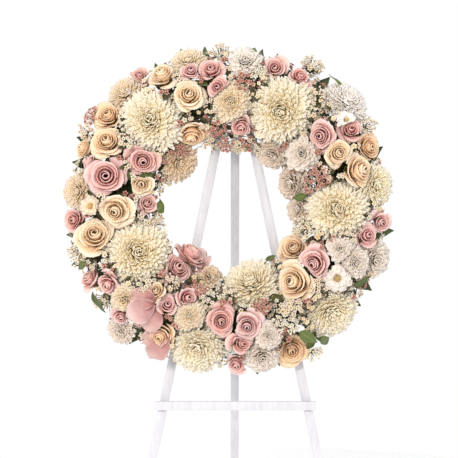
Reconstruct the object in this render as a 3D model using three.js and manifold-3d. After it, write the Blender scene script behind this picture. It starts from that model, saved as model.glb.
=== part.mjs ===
// A round funeral wreath of roses and chrysanthemums, hung on a folding three-legged wooden easel.
// Millimetres, +Z up. The wreath faces -Y and leans back with the easel's front frame.
import * as THREE from "three";
import { mergeVertices } from "three/addons/utils/BufferGeometryUtils.js";
import Module from "manifold-3d";

const wasm = await Module();
wasm.setup();

// Driving dimensions of the easel
const APEX_HEIGHT = 1219; // where the front legs' centre lines meet, above the floor
const LEAN = THREE.MathUtils.degToRad(8); // the front frame leans back by this
const REAR_LEAN = THREE.MathUtils.degToRad(18); // the rear leg's slope from the vertical
const LEG_SPREAD = Math.atan(0.205); // each front leg's slope within the frame
const LATH_WIDTH = 17;
const LATH_THICKNESS = 12;
const FIT_GAP = 0.3; // clearance between pieces that touch
const LEG_TOP = 12; // the legs are sawn off this far below the apex
const BAR_DEPTH = 680; // crossbar's centre below the apex
const BAR_LENGTH = 310;
const HEADER_TOP = 52;
const HEADER_BOTTOM = 130;
const HEADER_SETBACK = 3;
const PIN_DEPTH = 80; // hinge pin below the apex
const HINGE_WIDTH = 24;
const HINGE_HEIGHT = 40;
const HINGE_PLATE = 1.2;
const KNUCKLE_RADIUS = 3;
const PIN_RADIUS = 1.25;
const PIN_BORE = 1.7;
const REAR_LEG_ABOVE_PIN = 30;
const HOOK_RADIUS = 1.5;
const HOOK_TAIL = 16; // the wire reaches this far down behind the legs' tops

// Driving dimensions of the wreath
const WREATH_DEPTH = 300; // wreath's centre below the apex
const HANG_OFFSET = 14; // the wreath hangs this far left of the easel's middle
const RING_RADIUS = 218; // centre line of the foam ring
const TRAY_HALF_WIDTH = 34;
const TRAY_HEIGHT = 15;
const TRAY_WALL = 2;
const FOAM_TOP = 47;
const FOAM_CORNER = 12;
const FLOWER_REACH = 100; // the flowers' outer surface lies this far round the core line
const CORE_HEIGHT = 20; // the core line's height above the tray's back
const FLOWER_BACK = 16.5; // nothing but greenery, foam and tray lies behind this
const RING_SIDES = 28;

// Places are read from the front view, in picture units round the wreath's centre
const UNIT = 1.9;
const CENTRE_X = 228;
const CENTRE_Y = 208;

const up = new THREE.Vector3(0, 0, 1);

// Seeded random numbers, the same on every run
function randomFrom(seed) {
  let state = seed;
  return () => {
    state = (state + 0x6d2b79f5) | 0;
    let t = Math.imul(state ^ (state >>> 15), 1 | state);
    t = (t + Math.imul(t ^ (t >>> 7), 61 | t)) ^ t;
    return ((t ^ (t >>> 14)) >>> 0) / 4294967296;
  };
}

// Solids and meshes

function solid(geometry) {
  const bare = geometry.index ? geometry.toNonIndexed() : geometry.clone();
  bare.deleteAttribute("normal");
  bare.deleteAttribute("uv");
  const merged = mergeVertices(bare, 1e-4);
  return new wasm.Manifold(
    new wasm.Mesh({
      numProp: 3,
      vertProperties: merged.attributes.position.array,
      triVerts: new Uint32Array(merged.index.array),
    }),
  );
}

function geometryOf(made) {
  const mesh = made.getMesh();
  const places = new Float32Array(mesh.numVert * 3);
  for (let i = 0; i < mesh.numVert; i++) {
    const from = i * mesh.numProp;
    places.set(mesh.vertProperties.subarray(from, from + 3), i * 3);
  }
  const geometry = new THREE.BufferGeometry();
  geometry.setAttribute("position", new THREE.BufferAttribute(places, 3));
  geometry.setIndex(new THREE.BufferAttribute(new Uint32Array(mesh.triVerts), 1));
  return geometry;
}

function indexed(points, triangles) {
  const geometry = new THREE.BufferGeometry();
  const places = points.flatMap((p) => p.toArray());
  geometry.setAttribute("position", new THREE.Float32BufferAttribute(places, 3));
  geometry.setIndex(triangles.flat());
  return geometry;
}

function box(x, y, z, centre) {
  return solid(new THREE.BoxGeometry(x, y, z).translate(centre.x, centre.y, centre.z));
}

function finish(color, roughness, metalness = 0) {
  return new THREE.MeshStandardMaterial({ color, roughness, metalness });
}

const FINISHES = {
  cream_petals: finish(0xf3ead0, 0.7),
  white_petals: finish(0xf6f3ec, 0.7),
  pink_petals: finish(0xe9b6ba, 0.6),
  peach_petals: finish(0xf4dcb8, 0.6),
  bud_spray: finish(0xe9e4c8, 0.7),
  greenery: finish(0x3c5230, 0.6),
  foam: finish(0x35492b, 0.95),
  tray: finish(0x2f4a33, 0.5),
  painted_wood: finish(0xf2f1f4, 0.45),
  hinge_steel: finish(0xb9bcc2, 0.35, 0.9),
};

function mesh(name, material, made) {
  const piece = new THREE.Mesh(geometryOf(made), FINISHES[material]);
  piece.name = name;
  return piece;
}

// Easel. The front frame is drawn in its own plane: X right, Y up the slope, Z out of the front face.

function plateFrom(outline, back, thickness) {
  const shape = new THREE.Shape(outline.map(([x, y]) => new THREE.Vector2(x, y)));
  const plate = new THREE.ExtrudeGeometry(shape, { depth: thickness, bevelEnabled: false });
  return solid(plate.translate(0, 0, back));
}

// Everything below the floor, drawn in a frame that leans by an angle with its origin at the apex
function belowFloor(leanMatrix) {
  const size = 4000;
  const block = new THREE.BoxGeometry(size, size, size).translate(0, 0, -size / 2);
  return solid(block.applyMatrix4(leanMatrix.clone().invert()));
}

const leaning = new THREE.Matrix4()
  .makeTranslation(0, 0, APEX_HEIGHT)
  .multiply(new THREE.Matrix4().makeRotationX(Math.PI / 2 - LEAN));

function frontLeg(side) {
  const half = LATH_WIDTH / 2 / Math.cos(LEG_SPREAD);
  const slope = Math.tan(LEG_SPREAD);
  const long = 1400;
  const outline = [
    [side * -half, 0],
    [side * half, 0],
    [side * (long * slope + half), -long],
    [side * (long * slope - half), -long],
  ];
  if (side > 0) outline.reverse();
  const lath = plateFrom(outline, -LATH_THICKNESS, LATH_THICKNESS);
  const overMiddle = box(200, 400, 60, new THREE.Vector3(side * (FIT_GAP / 2 - 100), 0, 0));
  const overTop = box(200, 400, 60, new THREE.Vector3(0, 200 - LEG_TOP, 0));
  return lath.subtract(overMiddle).subtract(overTop).subtract(belowFloor(leaning));
}

function headerBlock() {
  const edge = (depth) => depth * Math.tan(LEG_SPREAD) - LATH_WIDTH / 2 / Math.cos(LEG_SPREAD) - FIT_GAP;
  const outline = [
    [-edge(HEADER_TOP), -HEADER_TOP],
    [-edge(HEADER_BOTTOM), -HEADER_BOTTOM],
    [edge(HEADER_BOTTOM), -HEADER_BOTTOM],
    [edge(HEADER_TOP), -HEADER_TOP],
  ];
  return plateFrom(outline, -LATH_THICKNESS, LATH_THICKNESS - HEADER_SETBACK);
}

function crossbar() {
  return box(
    BAR_LENGTH,
    LATH_WIDTH,
    LATH_THICKNESS,
    new THREE.Vector3(0, -BAR_DEPTH, FIT_GAP + LATH_THICKNESS / 2),
  );
}

// A round bar along X, between two x values
function barAlongX(radius, from, to, y, z, sides = 12) {
  const geometry = new THREE.CylinderGeometry(radius, radius, to - from, sides);
  return solid(geometry.rotateZ(Math.PI / 2).translate((from + to) / 2, y, z));
}

const pinBehind = LATH_THICKNESS + FIT_GAP + KNUCKLE_RADIUS; // pin's centre behind the front face
const knuckleEnd = HINGE_WIDTH / 2;
const knuckleSplit = HINGE_WIDTH / 6;

// The leaf screwed to the header, with the two outer knuckles
function fixedHingeLeaf() {
  const plate = box(
    HINGE_WIDTH,
    HINGE_HEIGHT,
    HINGE_PLATE,
    new THREE.Vector3(0, 1 - PIN_DEPTH - HINGE_HEIGHT / 2, -LATH_THICKNESS - FIT_GAP - HINGE_PLATE / 2),
  );
  const knuckles = barAlongX(KNUCKLE_RADIUS, -knuckleEnd, knuckleEnd, -PIN_DEPTH, -pinBehind);
  const middle = box(
    2 * (knuckleSplit + FIT_GAP),
    2 * KNUCKLE_RADIUS + 2,
    2 * KNUCKLE_RADIUS + 2,
    new THREE.Vector3(0, -PIN_DEPTH, -pinBehind),
  );
  const bore = barAlongX(PIN_BORE, -HINGE_WIDTH, HINGE_WIDTH, -PIN_DEPTH, -pinBehind);
  return plate.add(knuckles).subtract(middle).subtract(bore);
}

// The rear leg's own frame has its origin on the pin, Y up the leg and Z towards the front
const OPENING = LEAN + REAR_LEAN;
const rearMatrix = new THREE.Matrix4()
  .makeTranslation(0, -PIN_DEPTH, -pinBehind)
  .premultiply(leaning)
  .multiply(new THREE.Matrix4().makeRotationX(OPENING));

const leafFront = -(KNUCKLE_RADIUS - HINGE_PLATE); // the moving leaf's front face, behind the pin
const legFront = leafFront - HINGE_PLATE - FIT_GAP;

// The leaf screwed to the rear leg, with the middle knuckle and the pin staked into it
function movingHingeLeaf() {
  const plate = box(
    HINGE_WIDTH * 0.7,
    HINGE_HEIGHT,
    HINGE_PLATE,
    new THREE.Vector3(0, -HINGE_HEIGHT / 2 - KNUCKLE_RADIUS - FIT_GAP, leafFront - HINGE_PLATE / 2),
  );
  const web = box(
    2 * knuckleSplit,
    KNUCKLE_RADIUS * 2,
    HINGE_PLATE,
    new THREE.Vector3(0, -KNUCKLE_RADIUS, leafFront - HINGE_PLATE / 2),
  );
  const knuckle = barAlongX(KNUCKLE_RADIUS, -knuckleSplit, knuckleSplit, 0, 0);
  const pin = barAlongX(PIN_RADIUS, -knuckleEnd, knuckleEnd, 0, 0);
  return plate.add(web).add(knuckle).add(pin);
}

function rearLeg() {
  const below = 1400;
  const height = REAR_LEG_ABOVE_PIN + below;
  const lath = box(
    LATH_WIDTH,
    height,
    LATH_THICKNESS,
    new THREE.Vector3(0, REAR_LEG_ABOVE_PIN - height / 2, legFront - LATH_THICKNESS / 2),
  );
  // The bevelled top end stops against the back of the front frame when the leg is open
  const stop = new THREE.BoxGeometry(200, 400, 200)
    .translate(0, 0, 100 + KNUCKLE_RADIUS)
    .applyMatrix4(new THREE.Matrix4().makeRotationX(-OPENING));
  return lath.subtract(solid(stop)).subtract(belowFloor(rearMatrix));
}

// The hanging wire: out of the tray's top edge, over the legs' sawn tops and down behind them
const HOOK_ENTRY = 8; // height above the tray's back where the wire enters its wall
const trayTop = RING_RADIUS + TRAY_HALF_WIDTH - WREATH_DEPTH; // the tray's upper edge, below the apex
function hangingWire(radius) {
  const bend = HOOK_RADIUS + 2 * FIT_GAP;
  const back = -LATH_THICKNESS - bend;
  const route = [
    [trayTop - 14, HOOK_ENTRY],
    [trayTop - 4, HOOK_ENTRY],
    [trayTop + 5, HOOK_ENTRY - 0.5],
    [trayTop + 13, bend + 2],
    [trayTop + 20, bend],
    [-LEG_TOP - 8, bend],
    [-LEG_TOP, bend],
    [-LEG_TOP + 0.75 * bend, 0.75 * bend],
    [-LEG_TOP + bend, 0],
    [-LEG_TOP + bend, -LATH_THICKNESS],
    [-LEG_TOP + 0.75 * bend, back + 0.25 * bend],
    [-LEG_TOP, back],
    [-LEG_TOP - 8, back],
    [-LEG_TOP - HOOK_TAIL, back],
  ].map(([y, z]) => new THREE.Vector3(0, y, z));
  const ring = new THREE.Shape();
  const sides = 6;
  for (let i = 0; i < sides; i++) {
    const angle = ((i + 0.5) / sides) * 2 * Math.PI;
    const point = [radius * Math.cos(angle), radius * Math.sin(angle)];
    if (i === 0) ring.moveTo(...point);
    else ring.lineTo(...point);
  }
  ring.closePath();
  const path = new THREE.CatmullRomCurve3(route, false, "chordal");
  return solid(new THREE.ExtrudeGeometry(ring, { steps: 18, extrudePath: path, curveSegments: 1 }));
}

// Wreath base. The wreath's frame: X right, Y up its face, Z out of the front, origin on the tray's back.

function ringOf(profile) {
  const points = profile.map(([r, h]) => new THREE.Vector2(r, h));
  points.push(points[0].clone());
  return solid(new THREE.LatheGeometry(points, RING_SIDES).rotateX(Math.PI / 2));
}

const innerWall = RING_RADIUS - TRAY_HALF_WIDTH;
const outerWall = RING_RADIUS + TRAY_HALF_WIDTH;
const foamInner = innerWall + TRAY_WALL + FIT_GAP;
const foamOuter = outerWall - TRAY_WALL - FIT_GAP;
const foamBottom = TRAY_WALL + FIT_GAP;

const hookInWreath = (radius) => hangingWire(radius).translate([HANG_OFFSET, WREATH_DEPTH, 0]);

function backingTray() {
  const profile = [
    [innerWall, 0],
    [outerWall, 0],
    [outerWall, TRAY_HEIGHT],
    [outerWall - TRAY_WALL, TRAY_HEIGHT],
    [outerWall - TRAY_WALL, TRAY_WALL],
    [innerWall + TRAY_WALL, TRAY_WALL],
    [innerWall + TRAY_WALL, TRAY_HEIGHT],
    [innerWall, TRAY_HEIGHT],
  ];
  return ringOf(profile).subtract(hookInWreath(HOOK_RADIUS + FIT_GAP).translate([0, 0, -FIT_GAP]));
}

function foamRing() {
  const profile = [
    [foamInner, foamBottom],
    [foamOuter, foamBottom],
    [foamOuter, FOAM_TOP - FOAM_CORNER],
    [foamOuter - FOAM_CORNER, FOAM_TOP],
    [foamInner + FOAM_CORNER, FOAM_TOP],
    [foamInner, FOAM_TOP - FOAM_CORNER],
  ];
  return ringOf(profile).subtract(hookInWreath(HOOK_RADIUS + FIT_GAP).translate([0, 0, -FIT_GAP]));
}

// How far a point lies outside the foam, with the direction towards it. Negative is inside.
function foamDistance(point) {
  const radius = Math.hypot(point.x, point.y);
  const nearRadius = THREE.MathUtils.clamp(radius, foamInner + FOAM_CORNER, foamOuter - FOAM_CORNER);
  const nearHeight = THREE.MathUtils.clamp(point.z, -40, FOAM_TOP - FOAM_CORNER);
  const scale = nearRadius / radius;
  const near = new THREE.Vector3(point.x * scale, point.y * scale, nearHeight);
  const towards = near.clone().sub(point);
  return { distance: towards.length() - FOAM_CORNER, towards: towards.normalize() };
}

// Flower shapes have unit radius, their axis along +Z and their middle at the origin.
// Each is listed as rings of points from below to above, closed by a pole at both ends.

function ringStack(rings, bottom, top) {
  const sides = rings[0].length;
  const points = [...rings.flat(), bottom, top];
  const low = rings.length * sides;
  const triangles = [];
  for (let j = 0; j < sides; j++) {
    const next = (j + 1) % sides;
    triangles.push([low, next, j]);
    const last = (rings.length - 1) * sides;
    triangles.push([low + 1, last + j, last + next]);
    for (let k = 0; k < rings.length - 1; k++) {
      const [a, b] = [k * sides + j, k * sides + next];
      const [c, d] = [b + sides, a + sides];
      triangles.push(...(j % 2 ? [[a, b, d], [b, c, d]] : [[a, b, c], [a, c, d]]));
    }
  }
  return { points, triangles };
}

function lobedRing(sides, radius, height, lobe, lift, turn) {
  const ring = [];
  for (let j = 0; j < sides; j++) {
    const tip = (j + (turn % 2)) % 2 === 0 ? 1 : -1;
    const angle = ((j + 0.28 * turn) / sides) * 2 * Math.PI;
    const r = radius * (1 + lobe * tip);
    ring.push(new THREE.Vector3(r * Math.cos(angle), r * Math.sin(angle), height + lift * tip));
  }
  return ring;
}

// Rose: a calyx, and rims of five petals with a groove inside each. Small roses have one rim fewer.
function roseShape(rims) {
  const rings = [
    lobedRing(10, 0.3, -0.66, 0, 0, 0),
    lobedRing(10, 0.92, 0.02, 0.08, 0.06, 0),
    lobedRing(10, 0.68, 0.06, 0.03, 0, 0),
    lobedRing(10, 0.6, 0.42, 0.09, 0.04, 1),
    lobedRing(10, 0.38, 0.24, 0.03, 0, 1),
    lobedRing(10, 0.3, 0.58, 0.12, 0.04, 2),
  ].slice(0, 2 * rims);
  const top = rims === 3 ? 0.36 : 0.5;
  if (rims === 2) rings.push(lobedRing(10, 0.36, 0.26, 0.03, 0, 1));
  return ringStack(rings, new THREE.Vector3(0, 0, -0.8), new THREE.Vector3(0, 0, top));
}

// Daisy-form chrysanthemum: two rims of six petals round a low cushion
function daisyShape() {
  const rings = [
    lobedRing(12, 0.34, -0.42, 0, 0, 0),
    lobedRing(12, 0.8, 0.06, 0.2, 0.05, 0),
    lobedRing(12, 0.42, 0.12, 0.05, 0, 0),
    lobedRing(12, 0.5, 0.38, 0.24, 0.03, 1),
  ];
  return ringStack(rings, new THREE.Vector3(0, 0, -0.5), new THREE.Vector3(0, 0, 0.26));
}

// Incurved chrysanthemum: a dome tiled with diamonds, each raised to a petal's point
function mumShape(sides, angles) {
  const step = (2 * Math.PI) / sides;
  const [width, height] = [0.84, 0.5];
  const onDome = (latitude, angle, out, rise) => {
    const r = (width + out) * Math.cos(latitude);
    return new THREE.Vector3(r * Math.cos(angle), r * Math.sin(angle), height * Math.sin(latitude) + rise);
  };
  const points = [];
  const triangles = [];
  const count = angles.length;
  const at = (k, j) => k * sides + ((j + sides) % sides);
  angles.forEach((degrees, k) => {
    const latitude = THREE.MathUtils.degToRad(degrees);
    for (let j = 0; j < sides; j++) points.push(onDome(latitude, (j + (k % 2) / 2) * step, 0, 0));
  });
  const bottom = points.push(new THREE.Vector3(0, 0, -0.5 * height - 0.2)) - 1;
  const top = points.push(new THREE.Vector3(0, 0, height * 1.04)) - 1;
  angles.forEach((degrees, k) => {
    const latitude = THREE.MathUtils.degToRad(degrees + 7);
    for (let j = 0; j < sides; j++) {
      const shift = k % 2;
      const [left, right] = [at(k, j), at(k, j + 1)];
      const angle = (j + 0.5 + shift / 2) * step;
      const tip = points.push(onDome(latitude, angle, 0.13, 0.1 * Math.cos(latitude))) - 1;
      const upper = k < count - 1 ? at(k + 1, j + shift) : null;
      const lower = k > 0 ? at(k - 1, j + shift) : null;
      const round = [lower, right, upper, left].filter((n) => n !== null);
      round.forEach((n, i) => triangles.push([tip, n, round[(i + 1) % round.length]]));
      if (k === 0) triangles.push([bottom, right, left]);
      if (k === count - 1) triangles.push([top, left, right]);
    }
  });
  return { points, triangles };
}

const SHAPES = {
  mum: { ...mumShape(11, [-36, -10, 16, 42, 68]), flat: 0.66, top: 0.52 },
  smallMum: { ...mumShape(9, [-34, -2, 30, 62]), flat: 0.66, top: 0.52 },
  rose: { ...roseShape(3), flat: 0.9, top: 0.6 },
  smallRose: { ...roseShape(2), flat: 0.9, top: 0.6 },
  daisy: { ...daisyShape(), flat: 0.62, top: 0.4 },
};

// Where everything sits, read from the front view: x, y and radius in picture units, and a lift in
// millimetres. Heads listed together are branches of one stem.

const PLAN = [
  ["chrysanthemum_upper_left", "cream_petals",
    [["mum", 151, 121, 31], ["smallMum", 125, 93, 20], ["smallMum", 179, 161, 19]]],
  ["chrysanthemum_top_right", "cream_petals", [["mum", 281, 112, 33], ["smallMum", 231, 103, 19]]],
  ["chrysanthemum_right", "cream_petals", [["mum", 337, 210, 30], ["smallMum", 376, 184, 20]]],
  ["chrysanthemum_left", "cream_petals", [["mum", 138, 253, 32], ["daisy", 126, 299, 12]]],
  ["chrysanthemum_bottom_middle", "cream_petals", [["mum", 251, 285, 30], ["daisy", 210, 277, 12]]],
  ["chrysanthemum_lower_right", "cream_petals", [["mum", 331, 312, 26]]],
  ["chrysanthemum_bottom_left", "cream_petals", [["mum", 198, 346, 27], ["smallMum", 190, 315, 15]]],
  ["chrysanthemum_left_edge", "cream_petals", [["smallMum", 79, 191, 18], ["daisy", 92, 207, 9]]],
  ["chrysanthemum_top_edge", "cream_petals", [["smallMum", 188, 62, 18]]],
  ["chrysanthemum_right_shoulder", "white_petals", [["smallMum", 347, 100, 22], ["daisy", 346, 121, 9]]],
  ["pink_roses_top_left", "pink_petals",
    [["rose", 191, 72, 12], ["rose", 211, 72, 13], ["rose", 218, 89, 12]]],
  ["pink_rose_inner_top", "pink_petals", [["rose", 242, 125, 13]]],
  ["pink_roses_top_right", "pink_petals", [["rose", 275, 69, 13], ["rose", 299, 78, 12]]],
  ["pink_roses_right_shoulder", "pink_petals", [["rose", 321, 137, 16], ["rose", 350, 131, 12]]],
  ["pink_rose_inner_left", "pink_petals", [["rose", 143, 161, 17]]],
  ["pink_roses_left", "pink_petals", [["rose", 107, 177, 20], ["rose", 91, 163, 12, -10]]],
  ["pink_rose_by_the_hole", "pink_petals", [["rose", 147, 203, 11]]],
  ["pink_rose_left_edge", "pink_petals", [["rose", 75, 220, 13]]],
  ["pink_roses_lower_left_edge", "pink_petals", [["rose", 90, 279, 12], ["rose", 110, 283, 13]]],
  ["pink_roses_inner_lower_left", "pink_petals", [["rose", 176, 269, 18], ["rose", 189, 256, 17, -10]]],
  ["pink_roses_lower_left", "pink_petals", [["rose", 168, 305, 11], ["rose", 187, 298, 12]]],
  ["pink_roses_bottom", "pink_petals",
    [["rose", 221, 321, 15], ["rose", 247, 325, 15], ["rose", 241, 342, 12], ["rose", 237, 363, 12]]],
  ["pink_rose_lower_right", "pink_petals", [["rose", 314, 264, 17]]],
  ["pink_roses_right_edge", "pink_petals", [["rose", 365, 236, 13], ["rose", 381, 222, 11]]],
  ["pink_rose_top_left_edge", "pink_petals", [["rose", 139, 75, 11]]],
  ["pink_roses_bottom_left_edge", "pink_petals", [["rose", 122, 316, 11], ["rose", 143, 317, 15, -6]]],
  ["peach_roses_top_left", "peach_petals", [["rose", 163, 76, 16], ["rose", 189, 97, 17]]],
  ["peach_roses_upper_left_edge", "peach_petals",
    [["rose", 109, 116, 17], ["rose", 108, 143, 18], ["rose", 84, 148, 12]]],
  ["peach_rose_inner_upper_left", "peach_petals", [["rose", 191, 133, 17]]],
  ["peach_roses_left", "peach_petals", [["rose", 117, 211, 18], ["rose", 96, 236, 20]]],
  ["peach_rose_inner_left", "peach_petals", [["rose", 142, 184, 13]]],
  ["peach_roses_right", "peach_petals",
    [["rose", 337, 154, 15], ["rose", 357, 172, 19], ["rose", 368, 147, 15]]],
  ["peach_roses_lower_right", "peach_petals", [["rose", 295, 282, 21], ["rose", 295, 249, 17]]],
  ["peach_rose_lower_left", "peach_petals", [["rose", 157, 291, 11]]],
  ["peach_rose_bottom_left_edge", "peach_petals", [["rose", 162, 334, 15], ["rose", 157, 347, 13, -8]]],
  ["peach_rose_bottom_edge", "peach_petals", [["rose", 292, 349, 16]]],
  ["white_daisy_top", "white_petals", [["daisy", 246, 62, 14]]],
  ["white_daisies_inner_right", "white_petals",
    [["daisy", 273, 153, 14], ["daisy", 302, 154, 14], ["daisy", 293, 183, 15], ["daisy", 299, 208, 12]]],
  ["white_daisies_bottom", "white_petals", [["daisy", 268, 334, 11], ["daisy", 262, 356, 15]]],
  ["white_daisies_lower_right", "white_petals",
    [["daisy", 374, 259, 15], ["daisy", 354, 262, 13], ["daisy", 336, 278, 12], ["daisy", 339, 249, 11]]],
  ["white_daisy_bottom_left_edge", "white_petals", [["daisy", 119, 332, 11]]],
  ["bud_spray_bottom", "bud_spray", [["spray", 284, 323, 12], ["spray", 292, 307, 9]]],
  ["bud_spray_top_right", "bud_spray", [["spray", 313, 65, 11]]],
  ["bud_spray_left_edge", "bud_spray", [["spray", 78, 254, 11]]],
  ["bud_spray_inner_right", "bud_spray", [["spray", 304, 227, 11]]],
  ["blossom_spray_right", "pink_petals", [["spray", 318, 181, 14]]],
];

// The heads are drawn this much larger than they show, so that neighbours press against each other
const FULLNESS = { mum: 1.12, smallMum: 1.15, rose: 1.28, daisy: 1.35, spray: 1.3 };
const TILT_SHARE = 0.5; // how far the heads turn with the cushion's surface, from the front
const SMALL_ROSE = 14.5; // picture radius below which a rose has two rims of petals
// One flower head's place in the wreath: its middle, its axis and its radius in millimetres
function placed([kind, pictureX, pictureY, size, lift = 0]) {
  const radius = size * UNIT * FULLNESS[kind];
  const [x, y] = [(pictureX - CENTRE_X) * UNIT, (CENTRE_Y - pictureY) * UNIT];
  const fromCentre = Math.hypot(x, y);
  const outward = new THREE.Vector3(x / fromCentre, y / fromCentre, 0);
  const reach = FLOWER_REACH - (SHAPES[kind]?.top ?? 0.6) * radius;
  const sine = THREE.MathUtils.clamp((fromCentre - RING_RADIUS) / reach, -0.96, 0.96);
  const tilt = TILT_SHARE * Math.asin(sine);
  const height = CORE_HEIGHT + reach * Math.sqrt(1 - sine * sine) + lift;
  const middle = new THREE.Vector3(x, y, Math.max(height, FLOWER_BACK + 0.6 * radius));
  const axis = outward.clone().multiplyScalar(Math.sin(tilt)).addScaledVector(up, Math.cos(tilt));
  return { kind: kind === "rose" && size < SMALL_ROSE ? "smallRose" : kind, middle, axis, radius };
}

const nodes = PLAN.map(([name, material, heads]) => ({ name, material, heads: heads.map(placed) }));
const allHeads = nodes.flatMap((node) => node.heads);

// Flat walls round each head, halfway to its neighbours, so that crowded petals press flat
const CROWD_GAP = 0.4;
const KEEP_SHARE = 0.35; // no wall comes nearer to a head's middle than this share of its radius
for (const head of allHeads) {
  head.walls = [];
  for (const other of allHeads) {
    const towards = other.middle.clone().sub(head.middle);
    const apart = towards.length();
    if (other === head || apart > head.radius + other.radius) continue;
    const even = (apart * apart + head.radius ** 2 - other.radius ** 2) / (2 * apart);
    const least = (KEEP_SHARE * apart * head.radius) / (head.radius + other.radius);
    const most = apart - (KEEP_SHARE * apart * other.radius) / (head.radius + other.radius);
    const distance = THREE.MathUtils.clamp(even, least, most) - CROWD_GAP / 2;
    head.walls.push({ normal: towards.divideScalar(apart), distance });
  }
  head.walls.push({ normal: new THREE.Vector3(0, 0, -1), distance: head.middle.z - FLOWER_BACK });
  const foam = foamDistance(head.middle);
  head.walls.push({ normal: foam.towards, distance: foam.distance - (foam.towards.z > -0.9 ? 3 : 0.6) });
}

// Draws a head's shape in towards its middle wherever a wall is in the way
function pressed(head, offset) {
  const length = offset.length();
  if (length < 1e-6) return head.middle.clone();
  const direction = offset.clone().divideScalar(length);
  const along = direction.dot(head.axis);
  const flat = SHAPES[head.kind]?.flat ?? 1;
  const free = head.radius / Math.sqrt(1 - along * along + (along / flat) ** 2);
  let scale = 1;
  for (const wall of head.walls) {
    const facing = wall.normal.dot(direction);
    if (facing > 1e-3) scale = Math.min(scale, wall.distance / facing / free);
  }
  return head.middle.clone().addScaledVector(offset, scale);
}

// Turns a unit shape's point into a place in the wreath
function headFrame(head, spin) {
  const side = new THREE.Vector3(0, 1, 0).cross(head.axis).normalize();
  const across = head.axis.clone().cross(side);
  const turned = side.clone().multiplyScalar(Math.cos(spin)).addScaledVector(across, Math.sin(spin));
  const other = head.axis.clone().cross(turned);
  return (p) =>
    pressed(
      head,
      new THREE.Vector3()
        .addScaledVector(turned, p.x * head.radius)
        .addScaledVector(other, p.y * head.radius)
        .addScaledVector(head.axis, p.z * head.radius),
    );
}

// A straight stem with few sides between two points
function stem(from, to, radius, sides = 3) {
  const along = to.clone().sub(from);
  const geometry = new THREE.CylinderGeometry(radius, radius, along.length(), sides, 1);
  const turn = new THREE.Quaternion().setFromUnitVectors(new THREE.Vector3(0, 1, 0), along.normalize());
  geometry.applyQuaternion(turn);
  const middle = from.clone().add(to).multiplyScalar(0.5);
  return solid(geometry.translate(middle.x, middle.y, middle.z));
}

// Small buds on thin stalks that spread from one point
function budSpray(head, place) {
  const random = randomFrom(Math.round(head.middle.x * 7 + head.middle.y * 13));
  let made = null;
  const buds = 4;
  for (let i = 0; i < buds; i++) {
    const foot = new THREE.Vector3(0, 0, -0.7 + 0.07 * i);
    const angle = i * 2.4 + random();
    const out = i === 0 ? 0 : 0.45 + 0.35 * random();
    const rise = 0.55 - 0.5 * out + 0.25 * random();
    const tip = new THREE.Vector3(out * Math.cos(angle), out * Math.sin(angle), rise);
    const [from, to] = [place(foot), place(tip)];
    const bud = new THREE.SphereGeometry(4.2, 4, 2).translate(to.x, to.y, to.z);
    const stalk = stem(from, to, 1.2).add(solid(bud));
    made = made ? made.add(stalk) : stalk;
  }
  return made;
}

function headSolid(head, index) {
  const place = headFrame(head, index * 2.4);
  if (head.kind === "spray") return budSpray(head, place);
  const shape = SHAPES[head.kind];
  return solid(indexed(shape.points.map(place), shape.triangles));
}

// The stem runs from inside the head to a plain hole in the foam
const STEM_RADIUS = 2.6;
const STEM_IN_FOAM = 12;
function stemRoute(head) {
  const start = pressed(head, head.axis.clone().multiplyScalar(-0.35 * head.radius));
  const scale = RING_RADIUS / Math.hypot(head.middle.x, head.middle.y);
  const goal = new THREE.Vector3(head.middle.x * scale, head.middle.y * scale, CORE_HEIGHT + 6);
  const direction = goal.sub(start).normalize();
  const end = start.clone();
  while (foamDistance(end).distance > -STEM_IN_FOAM) end.addScaledVector(direction, 0.5);
  return { start, end, direction };
}

const holes = [];
function flowerNode(node) {
  let made = null;
  node.heads.forEach((head, index) => {
    const one = headSolid(head, index + node.heads.length);
    made = made ? made.add(one) : one;
    if (index > 0) {
      const gapTo = (h) => h.middle.distanceTo(head.middle);
      const before = node.heads.slice(0, index).sort((a, b) => gapTo(a) - gapTo(b))[0];
      const ends = [before, head].map((h) => pressed(h, h.axis.clone().multiplyScalar(-0.25 * h.radius)));
      made = made.add(stem(ends[0], ends[1], STEM_RADIUS));
    }
  });
  const route = stemRoute(node.heads[0]);
  holes.push(route);
  return made.add(stem(route.start, route.end, STEM_RADIUS));
}

// A leaf blade: pointed oval, folded along its midrib and arched, the same triangles on both faces
const LEAF_THICKNESS = 1;
function leafBlade(base, direction, faceUp, length, width, arch) {
  const side = faceUp.clone().cross(direction).normalize();
  const outline = [
    [0, 0, 0],
    [0.42, 0.45, 0.1],
    [1, 0, 0],
    [0.42, -0.45, 0.1],
    [0.5, 0, 0],
  ];
  const point = ([along, across, fold], thickness) =>
    base
      .clone()
      .addScaledVector(direction, along * length)
      .addScaledVector(side, across * width)
      .addScaledVector(faceUp, fold * width + arch * Math.sin(Math.PI * along) + thickness);
  const points = [...outline.map((p) => point(p, LEAF_THICKNESS)), ...outline.map((p) => point(p, 0))];
  const triangles = [];
  for (let i = 0; i < 4; i++) {
    const next = (i + 1) % 4;
    triangles.push([i, 4, next], [i + 5, next + 5, 9]);
    triangles.push([i, next, i + 5], [next, next + 5, i + 5]);
  }
  return solid(indexed(points, triangles));
}

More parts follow.
